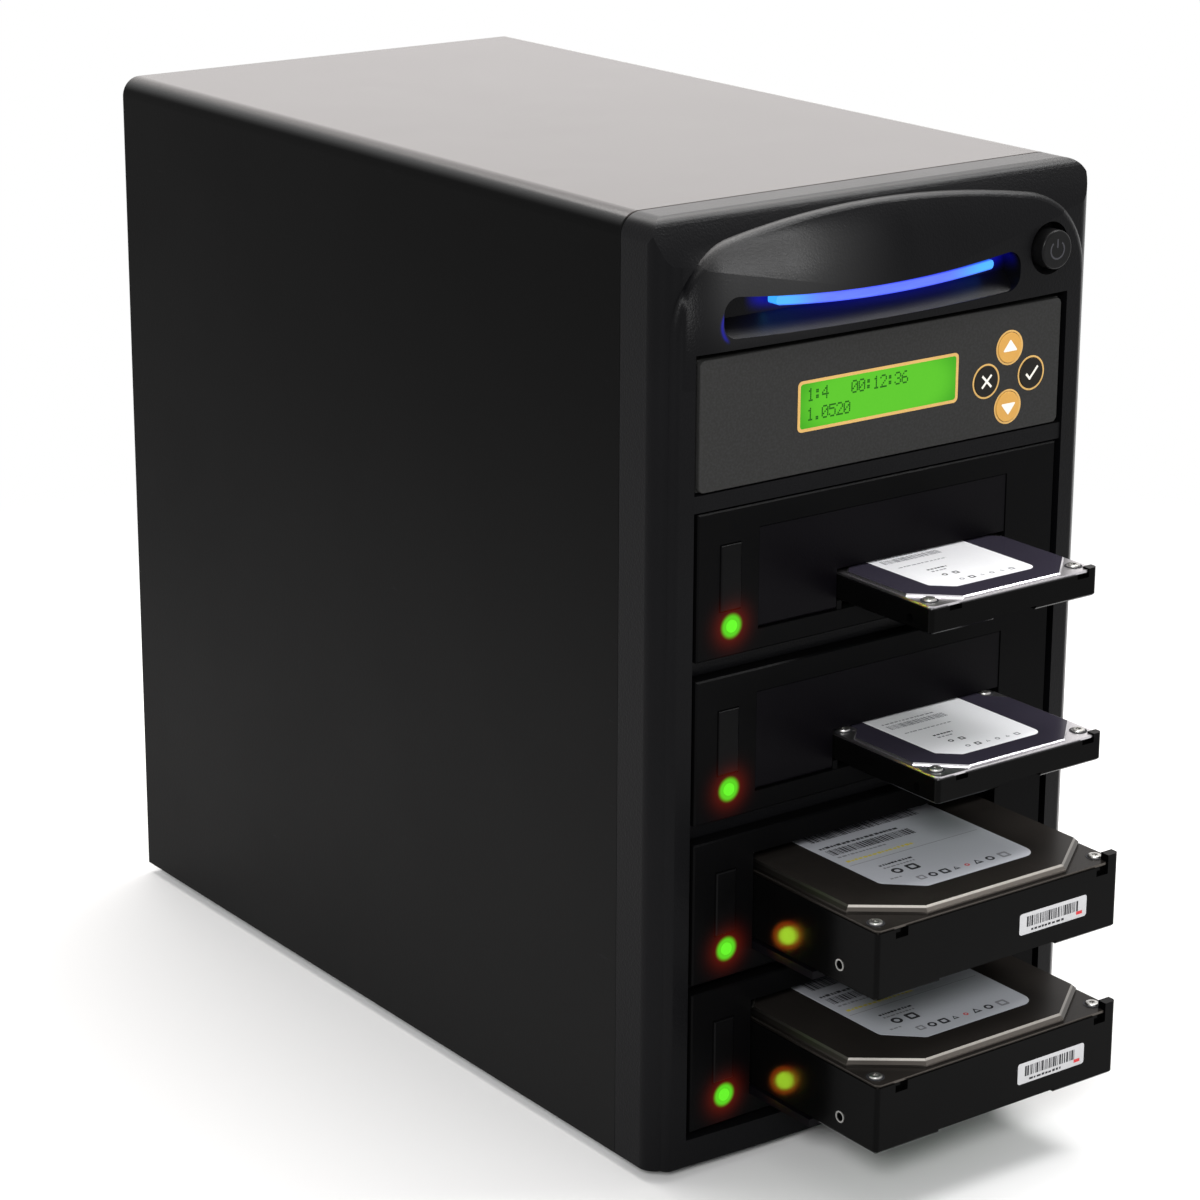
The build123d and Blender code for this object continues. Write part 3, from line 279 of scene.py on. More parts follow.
def alongBar(finish):
    # place along the light bar, from -1 to 1, and height above its curved middle line
    x, y, z = finish.axes()
    half = (barHigh.x - barLow.x) / 2
    across = (x - (barLow.x + barHigh.x) / 2) * (1 / half)
    curve = across * across * (barGlowLook["sag"] * mm) + (barLow.z + barGlowLook["middle"] * mm)
    return across, z - curve


def addBarGlow(finish):
    # blue light along the groove, close round the light bar, and a crescent at its left end
    look = barGlowLook
    x, y, z = finish.axes()
    across, gap = alongBar(finish)
    beyond = finish.fade(across * across, *look["ends"], 1.0, 0.0)
    inside = finish.fade(y, *(faceY + depth * mm for depth in look["inside"]))
    aside = x - look["endX"] * mm
    above = z - look["endZ"] * mm
    reach = finish.add("Math", {"operation": "SQRT"}, {0: aside * aside + above * above})
    offRim = reach - look["endRadius"] * mm
    crescent = finish.falloff(offRim * offRim, look["endWidth"])
    crescent = crescent * finish.within(aside, look["endPart"])
    glow = finish.falloff(gap * gap, look["height"]) * beyond * inside + crescent
    finish.shine(finish.tint(glow, noLight, paint(look["colour"])), look["power"])


# low: painted floor light, blended in towards the bottom
coverLook = {"colour": "040404", "worn": "070707", "low": "181818", "top": "2e2826",
             "scuff": "2c2c2e", "specular": 0.025, "roughness": 0.4, "sheen": 0.85,
             "sheenRoughness": 0.26, "sheenBend": 1.65, "peel": 1.3, "powder": 0.28,
             "peelDepth": 0.03, "powderDepth": 0.01, "smudge": 70, "lowPart": (300, 20),
             # top: a painted warm sheen on faces that look up
             "topPart": (0.7, 0.98), "sheenPart": (0.35, 0.95), "seam": (0.5, 1.1)}


def satinPaint(name, look):
    # sprayed steel with a slight orange peel and hand marks in its gloss; its colour carries painted floor
    # light towards the bottom and a painted warm sheen on faces that look up
    finish = Finish(name, {"Specular IOR Level": look["specular"], "Coat IOR": look["sheenBend"],
                           "Coat Roughness": look["sheenRoughness"]})
    spot = finish.spot()
    x, y, z = finish.axes()
    upward = finish.facing(2)
    smudge = finish.noise(look["smudge"], 4.0, spot, 0.6)
    peel = finish.noise(look["peel"], 1.0, spot)
    powder = finish.noise(look["powder"], 2.0, spot)
    scuffs = finish.fade(finish.noise(4.0, 6.0, finish.stretch(1, 0.2, 1), 0.7), 0.66, 0.74)
    body = finish.tint(smudge, paint(look["colour"]), paint(look["worn"]))
    # painted floor light: the colour turns lighter towards the bottom
    body = finish.tint(finish.within(z, look["lowPart"]), body, paint(look["low"]))
    # painted sheen: faces that look up turn a lighter warm grey
    body = finish.tint(finish.within(upward, look["topPart"], 1), body, paint(look["top"]))
    finish.set("Base Color", finish.tint(scuffs * 0.25, body, paint(look["scuff"])))
    seam = finish.within(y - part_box("outer_cover")[0].y, look["seam"])
    sheen = finish.within(upward, look["sheenPart"], 1) * (smudge * 0.2 + look["sheen"])
    finish.set("Coat Weight", sheen * seam)
    finish.set("Roughness", (smudge - 0.5) * 0.2 + powder * 0.06 + look["roughness"])
    rough = finish.bump(peel, look["peelDepth"])
    finish.set("Normal", finish.bump(powder, look["powderDepth"], rough))
    return finish


panelLook = {"colour": "2b2b2a", "light": "313131", "haze": "303030", "specular": 0.04,
             "roughness": 0.5, "grain": 0.35, "speckle": 0.8, "cloud": 30}


def panelFilm(look):
    # printed matt film over the control panel
    finish = Finish("panelFilm", {"Specular IOR Level": look["specular"]})
    spot = finish.spot()
    cloud = finish.noise(look["cloud"], 2.0, spot)
    grain = finish.noise(look["grain"], 3.0, spot)
    speckle = finish.fade(finish.noise(look["speckle"], 4.0, spot), 0.35, 0.7)
    shade = finish.tint(speckle, paint(look["colour"]), paint(look["light"]))
    finish.set("Base Color", finish.tint(cloud * 0.3, shade, paint(look["haze"])))
    finish.set("Roughness", grain * 0.12 + look["roughness"])
    finish.set("Normal", finish.bump(grain, 0.012))
    return finish


zincLook = {"colour": "b4b6b6", "dark": "9fa2a3", "spangle": 4.0, "lines": 0.5, "stains": 30,
            "roughness": 0.36}


def zincSheet(name, look):
    # galvanised steel with spangles and rolling lines
    finish = Finish(name, {"Metallic": 1.0})
    spot = finish.spot()
    spangle = finish.cells(look["spangle"], spot).other(1)
    flake = finish.add("SeparateColor", sockets={0: spangle})
    lines = finish.noise(look["lines"], 3.0, finish.stretch(0.03, 1, 1))
    stains = finish.noise(look["stains"], 4.0, spot, 0.6)
    tone = finish.tint(flake * 0.6 + stains * 0.3, paint(look["colour"]), paint(look["dark"]))
    finish.set("Base Color", tone)
    finish.set("Roughness", flake * 0.14 + lines * 0.1 + look["roughness"])
    finish.set("Normal", finish.bump(lines, 0.01))
    return finish


steelLook = {"colour": "c4c4c2", "tarnish": "9c9a96", "roughness": 0.2, "scratch": 0.4,
             "spots": 1.4}


def brightSteel(name, look):
    # plated steel with fine scratches
    finish = Finish(name, {"Metallic": 1.0})
    spot = finish.spot()
    scratch = finish.noise(look["scratch"], 5.0, finish.stretch(1, 6, 1), 0.7)
    spots = finish.noise(look["spots"], 3.0, spot)
    finish.set("Base Color", finish.tint(spots, paint(look["colour"]), paint(look["tarnish"])))
    finish.set("Roughness", scratch * 0.2 + look["roughness"])
    finish.set("Normal", finish.bump(scratch, 0.006))
    return finish


def displayGreen():
    # backlit display: brightest in the middle, with faint cells behind the characters
    look = {"middle": "60c926", "edge": "46ab18", "weave": "3fae15", "cell": 0.6}
    finish = Finish("displayGreen", {"Specular IOR Level": 0.1, "Roughness": 0.18})
    low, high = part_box("display_window")
    x, y, z = finish.axes()
    across = (x - (low.x + high.x) / 2) * (2 / (high.x - low.x))
    up = (z - (low.z + high.z) / 2) * (2 / (high.z - low.z))
    rim = finish.fade(across * across * across * across + up * up * 0.4, 0.25, 1.3)
    haze = finish.noise(14, 2.0)
    weave = finish.noise(look["cell"], 1.0)
    lit = finish.tint(rim, paint(look["middle"]), paint(look["edge"]))
    lit = finish.tint(weave * 0.12 + haze * 0.12, lit, paint(look["weave"]))
    finish.set("Base Color", finish.tint(haze, paint("06180a"), paint("0a220c")))
    finish.set("Roughness", haze * 0.1 + 0.14)
    finish.shine(lit, 1.0)
    return finish


def lampLens():
    # status lamp, lit all over with a slight grain
    look = {"light": "66de26", "dark": "56d11f"}
    finish = Finish("lampLens", {"Specular IOR Level": 0.0})
    grain = finish.noise(0.8, 2.0)
    finish.set("Base Color", (0.02, 0.2, 0.01, 1))
    finish.set("Roughness", grain * 0.15 + 0.15)
    finish.shine(finish.tint(grain * 0.5, paint(look["light"]), paint(look["dark"])), 1.0)
    return finish


def lightBar():
    # blue bar with a lamp near each end and a violet middle
    look = {"end": "26a8ff", "middle": "4a5eff", "edge": "1420d0", "streak": "8aa8ff",
            "power": 1.15}
    finish = Finish("lightBar", {"Specular IOR Level": 0.5})
    across, gap = alongBar(finish)
    ends = finish.fade(across * across, 0.25, 0.85)
    streak = finish.noise(1.2, 2.0, finish.stretch(0.15, 1, 1))
    rim = finish.fade(gap * gap, (0.9 * mm) ** 2, (1.7 * mm) ** 2)
    lit = finish.tint(ends, paint(look["middle"]), paint(look["end"]))
    lit = finish.tint(streak * 0.22, lit, paint(look["streak"]))
    finish.set("Base Color", (0.01, 0.03, 0.3, 1))
    finish.set("Roughness", streak * 0.1 + 0.2)
    finish.shine(finish.tint(rim * 0.8, lit, paint(look["edge"])), look["power"])
    return finish


goldLook = {"colour": "cf9d48", "dark": "b07f31"}


def goldPrint(name, colour):
    # gold-coloured ink and keys
    finish = Finish(name, {"Specular IOR Level": 0.4})
    fleck = finish.noise(0.35, 3.0)
    cloud = finish.noise(5, 2.0)
    worn = fleck * 0.5 + cloud * 0.3
    finish.set("Base Color", finish.tint(worn, paint(colour), paint(goldLook["dark"])))
    finish.set("Roughness", fleck * 0.2 + 0.3)
    finish.set("Normal", finish.bump(fleck, 0.006))
    return finish


def dim(colour, share):
    return tuple(share * part for part in paint(colour)[:3]) + (1.0,)


def flatInk(name, colour, roughness=0.5):
    # screen-printed ink with a slightly broken tone
    finish = Finish(name, {"Specular IOR Level": 0.1})
    fleck = finish.noise(0.25, 3.0)
    darker = dim(colour, 0.8)
    finish.set("Base Color", finish.tint(fleck * 0.5, paint(colour), darker))
    finish.set("Roughness", fleck * 0.15 + roughness)
    finish.set("Normal", finish.bump(fleck, 0.004))
    return finish


def labelPaper(name, colour, roughness):
    # coated label stock
    finish = Finish(name, {"Specular IOR Level": 0.15})
    fibre = finish.noise(0.5, 4.0, finish.stretch(1, 0.4, 1))
    waves = finish.noise(14, 2.0)
    darker = dim(colour, 0.88)
    finish.set("Base Color", finish.tint(fibre * 0.4 + waves * 0.2, paint(colour), darker))
    finish.set("Roughness", fibre * 0.1 + roughness)
    finish.set("Normal", finish.bump(waves * 8.0 + fibre, 0.006))
    return finish


def driveCasting():
    # black-coated cast base, cleaner and glossier than the lid
    look = {"colour": "030303", "edge": "050505", "roughness": 0.09}
    finish = Finish("driveCasting", {"Specular IOR Level": 0.04})
    spot = finish.spot()
    pits = finish.noise(0.5, 3.0, spot)
    cloud = finish.noise(16, 3.0, spot)
    finish.set("Base Color", finish.tint(cloud, paint(look["colour"]), paint(look["edge"])))
    finish.set("Roughness", cloud * 0.08 + pits * 0.03 + look["roughness"])
    finish.set("Normal", finish.bump(pits, 0.008))
    return finish


def driveLid(name, look):
    # stamped lid: dark coat on the flat field, bright metal on its bevels and, if small, its flange; on the
    # large lid the bevels carry painted shade below their top edge and by which way they face
    finish = Finish(name, {"Specular IOR Level": 0.04})
    spot = finish.spot()
    upward = finish.facing(2)
    x, y, z = finish.axes()
    field = finish.fade(upward, 0.9, 0.98) * finish.fade(z, look["from"], look["from"] + 0.1 * mm)
    grain = finish.noise(0.4, 3.0, spot)
    cloud = finish.noise(25, 3.0, spot)
    coat = finish.tint(cloud, paint(look["coat"]), paint(look["coatLight"]))
    metal = finish.tint(grain, paint(look["bright"]), paint(look["brightDark"]))
    if look["rim"]:
        # painted shade: the lower part of the bevel takes the dark shade colour, leaving a bright line
        # along its top
        rim = finish.fade(z, look["top"] - look["rim"] * mm, look["top"] - 0.7 * look["rim"] * mm)
        metal = finish.tint(rim, paint(look["slope"]), metal)
        aside = finish.facing(0)
        # painted shade: bevels darken towards the same colour by which way they face, most where they face
        # left
        paintedSideShade = finish.fade(aside, -0.45, -0.65) * 0.8 + finish.fade(aside, -0.3, -0.1) * 0.55
        metal = finish.tint(paintedSideShade, metal, paint(look["slope"]))
    finish.set("Base Color", finish.tint(field, metal, coat))
    finish.set("Metallic", 1 - field * look["dull"])
    finish.set("Roughness", grain * 0.06 + cloud * 0.06 + look["roughness"] - field * look["gloss"])
    finish.set("Normal", finish.bump(grain, 0.004))
    return finish


def circuitBoard():
    # green solder mask with fine tracks and pads
    look = {"mask": "0d4a2a", "track": "1f7a48", "pad": "b9a25c"}
    finish = Finish("circuitBoard", {"Specular IOR Level": 0.5})
    spot = finish.spot()
    tracks = finish.cells(2.4, spot, "DISTANCE_TO_EDGE")
    line = finish.fade(tracks, 0.06, 0.1)
    pads = finish.fade(finish.cells(3.1, spot), 0.14, 0.18)
    mask = finish.tint(line, paint(look["track"]), paint(look["mask"]))
    finish.set("Base Color", finish.tint(pads, paint(look["pad"]), mask))
    finish.set("Metallic", (1 - pads) * 0.8)
    finish.set("Roughness", finish.noise(6, 2.0, spot) * 0.2 + 0.25)
    finish.set("Normal", finish.bump(line + pads, 0.02))
    return finish


finishes = {
    "cover_paint": satinPaint("coverPaint", coverLook),
    "bezel_plastic": grainPlastic("bezelPlastic", bezelLook),
    "panel_plastic": panelFilm(panelLook),
    "rack_plastic": grainPlastic("rackPlastic", rackLook),
    "door_plastic": grainPlastic("doorPlastic", doorLook),
    "release_plastic": grainPlastic("releasePlastic", releaseLook),
    "zinc_steel": zincSheet("zincSheet", zincLook),
    "supply_steel": zincSheet("supplySheet", {**zincLook, "spangle": 6.0, "colour": "a6a8a9"}),
    "display_glass": displayGreen(),
    "circuit_green": circuitBoard(),
    "key_gold": goldPrint("keyGold", goldLook["colour"]),
    "key_black": grainPlastic("keyBlack", {**buttonLook, "colour": "161412", "faded": "1c1a17"}),
    "light_blue": lightBar(),
    "lens_green": lampLens(),
    "button_plastic": grainPlastic("buttonPlastic", buttonLook),
    "switch_plastic": grainPlastic("switchPlastic", switchLook),
    "fan_plastic": grainPlastic("fanPlastic", fanLook),
    "guard_steel": brightSteel("guardSteel", steelLook),
    "screw_steel": brightSteel("screwSteel", {**steelLook, "roughness": 0.26}),
    "drive_black": driveCasting(),
    "rubber_black": grainPlastic("rubberBlack", rubberLook),
}
addLampGlow(finishes["rack_plastic"])
addLampGlow(finishes["release_plastic"])
addBarGlow(finishes["bezel_plastic"])

smallLidLook = {"coat": "2b2833", "coatLight": "35323d", "bright": "d8d6d8", "brightDark": "a9a6ab",
                "roughness": 0.24, "gloss": 0.14, "rim": 0, "slope": "d8d6d8", "dull": 0.9}
largeLidLook = {"coat": "1d1b19", "coatLight": "262321", "bright": "c8c4be", "brightDark": "a09b94",
                "roughness": 0.28, "gloss": 0.1, "rim": 0.7, "slope": "4b4743", "dull": 1.0}
lidFinishes = {}
underField = 0.15 * mm  # how far below its face the lid's coat starts
for number in range(1, 5):
    lidLow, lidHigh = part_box(f"drive_lid_{number}")
    look = dict(smallLidLook if number < 3 else largeLidLook)
    look["top"] = lidHigh.z
    look["from"] = (lidHigh.z if number < 3 else lidLow.z) - underField
    lidFinishes[f"drive_lid_{number}"] = driveLid(f"driveLid{number}", look)

for subpart in frame["record"]["subparts"]:
    name = subpart["node"]
    finish = lidFinishes.get(name) or finishes[subpart["material_slot"]]
    for place in nodes[name].material_slots:
        place.material = finish.material
print("finishes set:", len(bpy.data.materials))


# Mesh kit

def plane(origin, across, up):
    # places points of a flat drawing: u across, v up, w out of it
    outward = across.cross(up)
    return lambda u, v, w=0.0: origin + (across * u + up * v + outward * w) * mm


right, back, upright = Vector((1, 0, 0)), Vector((0, 1, 0)), Vector((0, 0, 1))


def roundedOutline(corners, steps=5):
    # corners with their radii, as one closed outline
    outline = []
    for index, (x, y, radius) in enumerate(corners):
        here = Vector((x, y))
        before = (Vector(corners[index - 1][:2]) - here).normalized()
        after = (Vector(corners[(index + 1) % len(corners)][:2]) - here).normalized()
        if radius == 0:
            outline.append((x, y))
            continue
        half = before.angle(after) / 2
        centre = here + (before + after).normalized() * (radius / math.sin(half))
        start = here + before * (radius / math.tan(half)) - centre
        end = here + after * (radius / math.tan(half)) - centre
        first = math.atan2(start.y, start.x)
        turn = (math.atan2(end.y, end.x) - first + math.pi) % (2 * math.pi) - math.pi
        for step in range(steps + 1):
            angle = first + turn * step / steps
            spoke = Vector((math.cos(angle), math.sin(angle))) * radius
            outline.append(tuple(centre + spoke))
    return outline


def rectangle(left, low, width, height, radius=0.0):
    far, top = left + width, low + height
    corners = [(left, low), (far, low), (far, top), (left, top)]
    return roundedOutline([(x, y, radius) for x, y in corners])


def circle(x, y, radius, count=32):
    turns = [2 * math.pi * step / count for step in range(count)]
    return [(x + radius * math.cos(turn), y + radius * math.sin(turn)) for turn in turns]


def bridge(bm, lower, upper, index=0):
    count = len(lower)
    for step in range(count):
        following = (step + 1) % count
        face = bm.faces.new((lower[step], lower[following], upper[following], upper[step]))
        face.material_index = index


def slab(bm, place, outline, low, high, index=0, bevel=0.0):
    # a plate with the drawing's outline, between two heights, its upper rim eased
    base = [bm.verts.new(place(u, v, low)) for u, v in outline]
    top = [bm.verts.new(place(u, v, high)) for u, v in outline]
    bridge(bm, base, top, index)
    bm.faces.new(list(reversed(base))).material_index = index
    cap = bm.faces.new(top)
    cap.material_index = index
    if bevel:
        rim = list(cap.edges)
        bmesh.ops.bevel(bm, geom=rim, offset=bevel * mm, segments=2, affect="EDGES", profile=0.6)


def band(bm, place, outer, inner, low, high, index=0):
    # a flat ring between two outlines with as many points
    rings = [[bm.verts.new(place(u, v, w)) for u, v in outline]
             for outline, w in ((outer, low), (outer, high), (inner, high), (inner, low))]
    for first, second in zip(rings, rings[1:] + rings[:1]):
        bridge(bm, first, second, index)


def lathe(bm, place, rings, index=0, endIndex=0, count=48):
    # rings of (radius function, height), closed at both ends, the last end with its own finish
    turns = [2 * math.pi * step / count for step in range(count)]
    made = []
    for shape, height in rings:
        points = [(shape(turn) * math.cos(turn), shape(turn) * math.sin(turn)) for turn in turns]
        made.append([bm.verts.new(place(u, v, height)) for u, v in points])
    for first, second in zip(made, made[1:]):
        bridge(bm, first, second, index)
    bm.faces.new(list(reversed(made[0]))).material_index = index
    bm.faces.new(made[-1]).material_index = endIndex


def addPiece(name, bm, materials, body, replaced=()):
    bmesh.ops.recalc_face_normals(bm, faces=bm.faces)
    mesh = bpy.data.meshes.new(name)
    bm.to_mesh(mesh)
    bm.free()
    mesh.shade_smooth()
    mesh.set_sharp_from_angle(angle=math.radians(32))
    piece = bpy.data.objects.new(name, mesh)
    bpy.context.scene.collection.objects.link(piece)
    for finish in materials:
        mesh.materials.append(finish.material)
    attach(piece, body)
    if replaced:
        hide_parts(*replaced)
    return piece


inkWhite = flatInk("inkWhite", "e9e6dc")
inkDark = flatInk("inkDark", "2d2d30")
inkGrey = flatInk("inkGrey", "85858a")
inkRed = flatInk("inkRed", "c23a3e")
inkYellow = flatInk("inkYellow", "c9bb54")
inkGreen = flatInk("inkGreen", "17560b", 0.3)
inkGold = goldPrint("inkGold", "d6b06a")
frontPlane = plane(Vector((0, faceY, 0)), right, upright)
sunk = -0.02  # how far a printed mark reaches into what carries it


# Display: gold border and dotted characters

digitDots = {
    "0": ".###. #...# #..## #.#.# ##..# #...# .###.",
    "1": "..#.. .##.. ..#.. ..#.. ..#.. ..#.. .###.",
    "2": ".###. #...# ....# ...#. ..#.. .#... #####",
    "3": ".###. #...# ....# ..##. ....# #...# .###.",
    "4": "...#. ..##. .#.#. #..#. ##### ...#. ...#.",
    "5": "##### #.... ####. ....# ....# #...# .###.",
    "6": "..##. .#... #.... ####. #...# #...# .###.",
    ":": "..... .##.. .##.. ..... .##.. .##.. .....",
    ".": "..... ..... ..... ..... ..... .##.. .##..",
    " ": "..... ..... ..... ..... ..... ..... .....",
}
displayLook = {"rows": ("1:4   00:12:36", "1.0520"), "rowTops": (254.4, 248.2), "left": -32.1,
               "pitch": 2.95, "dot": 0.54, "dotShape": 0.92, "step": 0.55, "rise": 0.6,
               "borderWidth": 0.95, "corner": 1.7, "innerCorner": 1.0, "overlap": 0.05}


def makeDisplay(look):
    # a gold border round the window and plain digits built from dots
    low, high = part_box("display_window")
    left, bottom = low.x / mm, low.z / mm
    width, height = (high.x - low.x) / mm, (high.z - low.z) / mm
    border = bmesh.new()
    outer, inner = [
        rectangle(left - out, bottom - out, width + 2 * out, height + 2 * out, corner)
        for out, corner in ((look["borderWidth"], look["corner"]), (-look["overlap"], look["innerCorner"]))]
    band(border, frontPlane, outer, inner, sunk, 0.1)
    addPiece("display_border", border, [inkGold], "case")
    dots = bmesh.new()
    dot = look["dot"]
    for row, top in zip(look["rows"], look["rowTops"]):
        for place, sign in enumerate(row):
            for down, cells in enumerate(digitDots[sign].split()):
                for along in (index for index, cell in enumerate(cells) if cell == "#"):
                    x = look["left"] + place * look["pitch"] + along * look["step"]
                    z = top - down * look["rise"] - dot
                    outline = rectangle(x, z, dot * look["dotShape"], dot)
                    slab(dots, frontPlane, outline, sunk / 2, 0.03)
    addPiece("display_characters", dots, [inkGreen], "case")


makeDisplay(displayLook)


# Keys: printed rings round them and marks on their faces

keyLook = {"ring": 5.75, "ringInner": 5.15, "mark": 3.2, "stroke": 0.75}


def strokeOutline(points, width):
    # an open line of equal width
    sides = ([], [])
    for index, point in enumerate(points):
        here = Vector(point)
        before = Vector(points[max(index - 1, 0)])
        after = Vector(points[min(index + 1, len(points) - 1)])
        along = (after - before).normalized()
        normal = Vector((-along.y, along.x)) * width / 2
        sides[0].append(tuple(here - normal))
        sides[1].append(tuple(here + normal))
    return sides[0] + list(reversed(sides[1]))


def keyMark(name, reach, stroke):
    # arrow, cross or tick, as outlines within the mark's reach
    if name in ("up_key", "down_key"):
        side = 1 if name == "up_key" else -1
        corners = [(-side, -0.36 * side), (side, -0.36 * side), (0, 0.86 * side)]
        return [roundedOutline([(x * reach, y * reach, 0.3) for x, y in corners])]
    if name == "escape_key":
        lines = [((-0.62, -0.62), (0.62, 0.62)), ((-0.62, 0.62), (0.62, -0.62))]
    else:
        lines = [((-0.75, 0), (-0.2, -0.6)), ((-0.32, -0.6), (0.8, 0.65))]
    return [strokeOutline([(x * reach, y * reach) for x, y in line], stroke) for line in lines]


def makeKeyMarks(look):
    # each mark rides on its key, the rings stay with the panel
    rings = bmesh.new()
    outer, inner = circle(0, 0, look["ring"], 48), circle(0, 0, look["ringInner"], 48)
    for name in ("up_key", "down_key", "escape_key", "confirm_key"):
        low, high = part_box(name)
        centre = Vector(((low.x + high.x) / 2, faceY, (low.z + high.z) / 2))
        band(rings, plane(centre, right, upright), outer, inner, sunk, 0.06)
        keyPlane = plane(Vector((centre.x, low.y, centre.z)), right, upright)
        mark = bmesh.new()
        for step, outline in enumerate(keyMark(name, look["mark"], look["stroke"])):
            slab(mark, keyPlane, outline, sunk, 0.05 + 0.01 * step)
        addPiece(name + "_mark", mark, [inkWhite], name)
    addPiece("key_rings", rings, [inkGold], "case")


makeKeyMarks(keyLook)


# Power button mark

powerLook = {"radius": 2.9, "stroke": 0.55, "gap": 40, "lineStart": 0.6, "height": 0.05,
             "colour": "3b3b3f"}


def makePowerMark(look):
    # an open ring with an upright line through its gap
    low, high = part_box("power_button")
    face = plane(Vector(((low.x + high.x) / 2, low.y, (low.z + high.z) / 2)), right, upright)
    bm = bmesh.new()
    radius, stroke, start = look["radius"], look["stroke"], look["lineStart"]
    sweep = (360 - 2 * look["gap"]) / 32
    turns = [math.radians(90 + look["gap"] + step * sweep) for step in range(33)]
    arc = [(radius * math.cos(turn), radius * math.sin(turn)) for turn in turns]
    slab(bm, face, strokeOutline(arc, stroke), sunk, look["height"])
    slab(bm, face, strokeOutline([(0, start), (0, radius + start)], stroke), sunk, look["height"])
    ink = flatInk("inkButton", look["colour"])
    addPiece("power_button_mark", bm, [ink], "power_button")


makePowerMark(powerLook)
print("panel pieces done")


# Drives: labels, print, stickers, screws and threads

def barcode(left, low, width, height, seed):
    # upright bars of uneven width
    draw = random.Random(seed)
    bars = []
    x = left
    while x < left + width:
        bar = draw.choice((0.25, 0.25, 0.5, 0.75))
        bars.append((x, low, bar, height))
        x += bar + draw.choice((0.25, 0.35, 0.5))
    return bars


def dashes(left, low, width, height, seed):
    # short blocks along a line
    draw = random.Random(seed)
    blocks = []
    x = left
    while x < left + width:
        block = draw.uniform(0.6, 1.8)
        blocks.append((x, low, min(block, left + width - x), height * draw.uniform(0.75, 1.0)))
        x += block + draw.uniform(0.3, 0.6)
    return blocks


# each line of a label: left, low, width, height, seed, ink
largeBars = [(25, 50, 35, 4.6, 3, 0), (26, 62, 46, 6, 10, 0)]
largeDashes = [(24.5, 56, 33, 1.5, 4, 0), (25, 47.6, 20, 1.0, 5, 1), (25, 43.2, 28, 1.4, 6, 3),
               (31, 34.6, 14, 1.2, 7, 0), (31, 32.4, 13, 1.0, 8, 1), (27, 24.6, 4.5, 1.0, 9, 1)]
largeDashes += [(26, 72 + row * 4.0, 30 + (row % 3) * 8, 1.3, 20 + row, 0 if row % 3 == 0 else 1)
                for row in range(9)]
smallBars = [(16, 39.5, 24, 3.4, 13, 1), (17, 54, 30, 5, 18, 0)]
smallDashes = [(16, 44.2, 22, 0.9, 14, 1), (17, 34.4, 20, 0.7, 15, 1), (23, 27.5, 8, 1.0, 16, 0),
               (23, 25.4, 6, 0.8, 17, 1)]
smallDashes += [(17, 62 + row * 2.8, 20 + (row % 2) * 8, 1.0, 40 + row, 1) for row in range(4)]
largeRule = (23.5, 40.4, 54, 0.25)

# plain signs: middle, half size, kind, ink
largeSigns = [
    (36, 20.6, 1.5, "square", 1), (40.6, 20.4, 1.6, "disc", 0), (45.4, 20.2, 1.7, "square", 0),
    (50, 20.1, 1.2, "triangle", 0), (54.6, 20.0, 0.9, "disc", 2), (59, 20.0, 1.7, "triangle", 0),
    (64.2, 19.8, 1.6, "disc", 0), (70, 19.6, 1.9, "square", 1), (33.4, 29.2, 2.0, "disc", 0),
    (39.6, 29.0, 2.1, "square", 0)]
smallSigns = [
    (24.6, 21.4, 1.0, "disc", 0), (29, 21.2, 1.1, "square", 0), (26, 15.0, 0.9, "disc", 1),
    (30, 14.8, 1.1, "square", 0), (34, 14.6, 0.8, "triangle", 1), (38, 14.4, 0.9, "disc", 1),
    (42, 14.2, 0.8, "triangle", 1), (46, 14.0, 1.0, "square", 1)]


def signOutline(x, y, size, kind):
    if kind == "disc":
        return circle(x, y, size, 20)
    if kind == "triangle":
        return [(x - size, y - 0.8 * size), (x + size, y - 0.8 * size), (x, y + size)]
    return rectangle(x - size, y - size, 2 * size, 2 * size, 0.3 * size)


def makeLabel(number, look):
    # a paper label with its print, on the drive's lid
    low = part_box(f"drive_base_{number}")[0]
    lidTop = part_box(f"drive_lid_{number}")[1].z
    lidPlane = plane(Vector((low.x, low.y, lidTop)), right, back)
    body = f"drive_{number}"
    paper = bmesh.new()
    slab(paper, lidPlane, roundedOutline(look["corners"]), sunk, look["thick"], bevel=0.03)
    finish = labelPaper(f"labelPaper{number}", look["colour"], look["roughness"])
    addPiece(f"drive_label_{number}", paper, [finish], body)
    foot, top = look["thick"] - 0.01, look["thick"] + 0.02
    printed = bmesh.new()
    blocks = [(block, line[5]) for line in look["bars"] for block in barcode(*line[:5])]
    blocks += [(block, line[5]) for line in look["dashes"] for block in dashes(*line[:5])]
    blocks += [(rule, 1) for rule in look["rules"]]
    for block, ink in blocks:
        slab(printed, lidPlane, rectangle(*block), foot, top, ink)
    for x, y, size, kind, ink in look["signs"]:
        outline = signOutline(x, y, size, kind)
        inner = [(x + (u - x) * 0.5, y + (v - y) * 0.5) for u, v in outline]
        band(printed, lidPlane, outline, inner, foot, top, ink)
    inks = [inkDark, inkGrey, inkRed, inkYellow]
    addPiece(f"label_print_{number}", printed, inks, body)


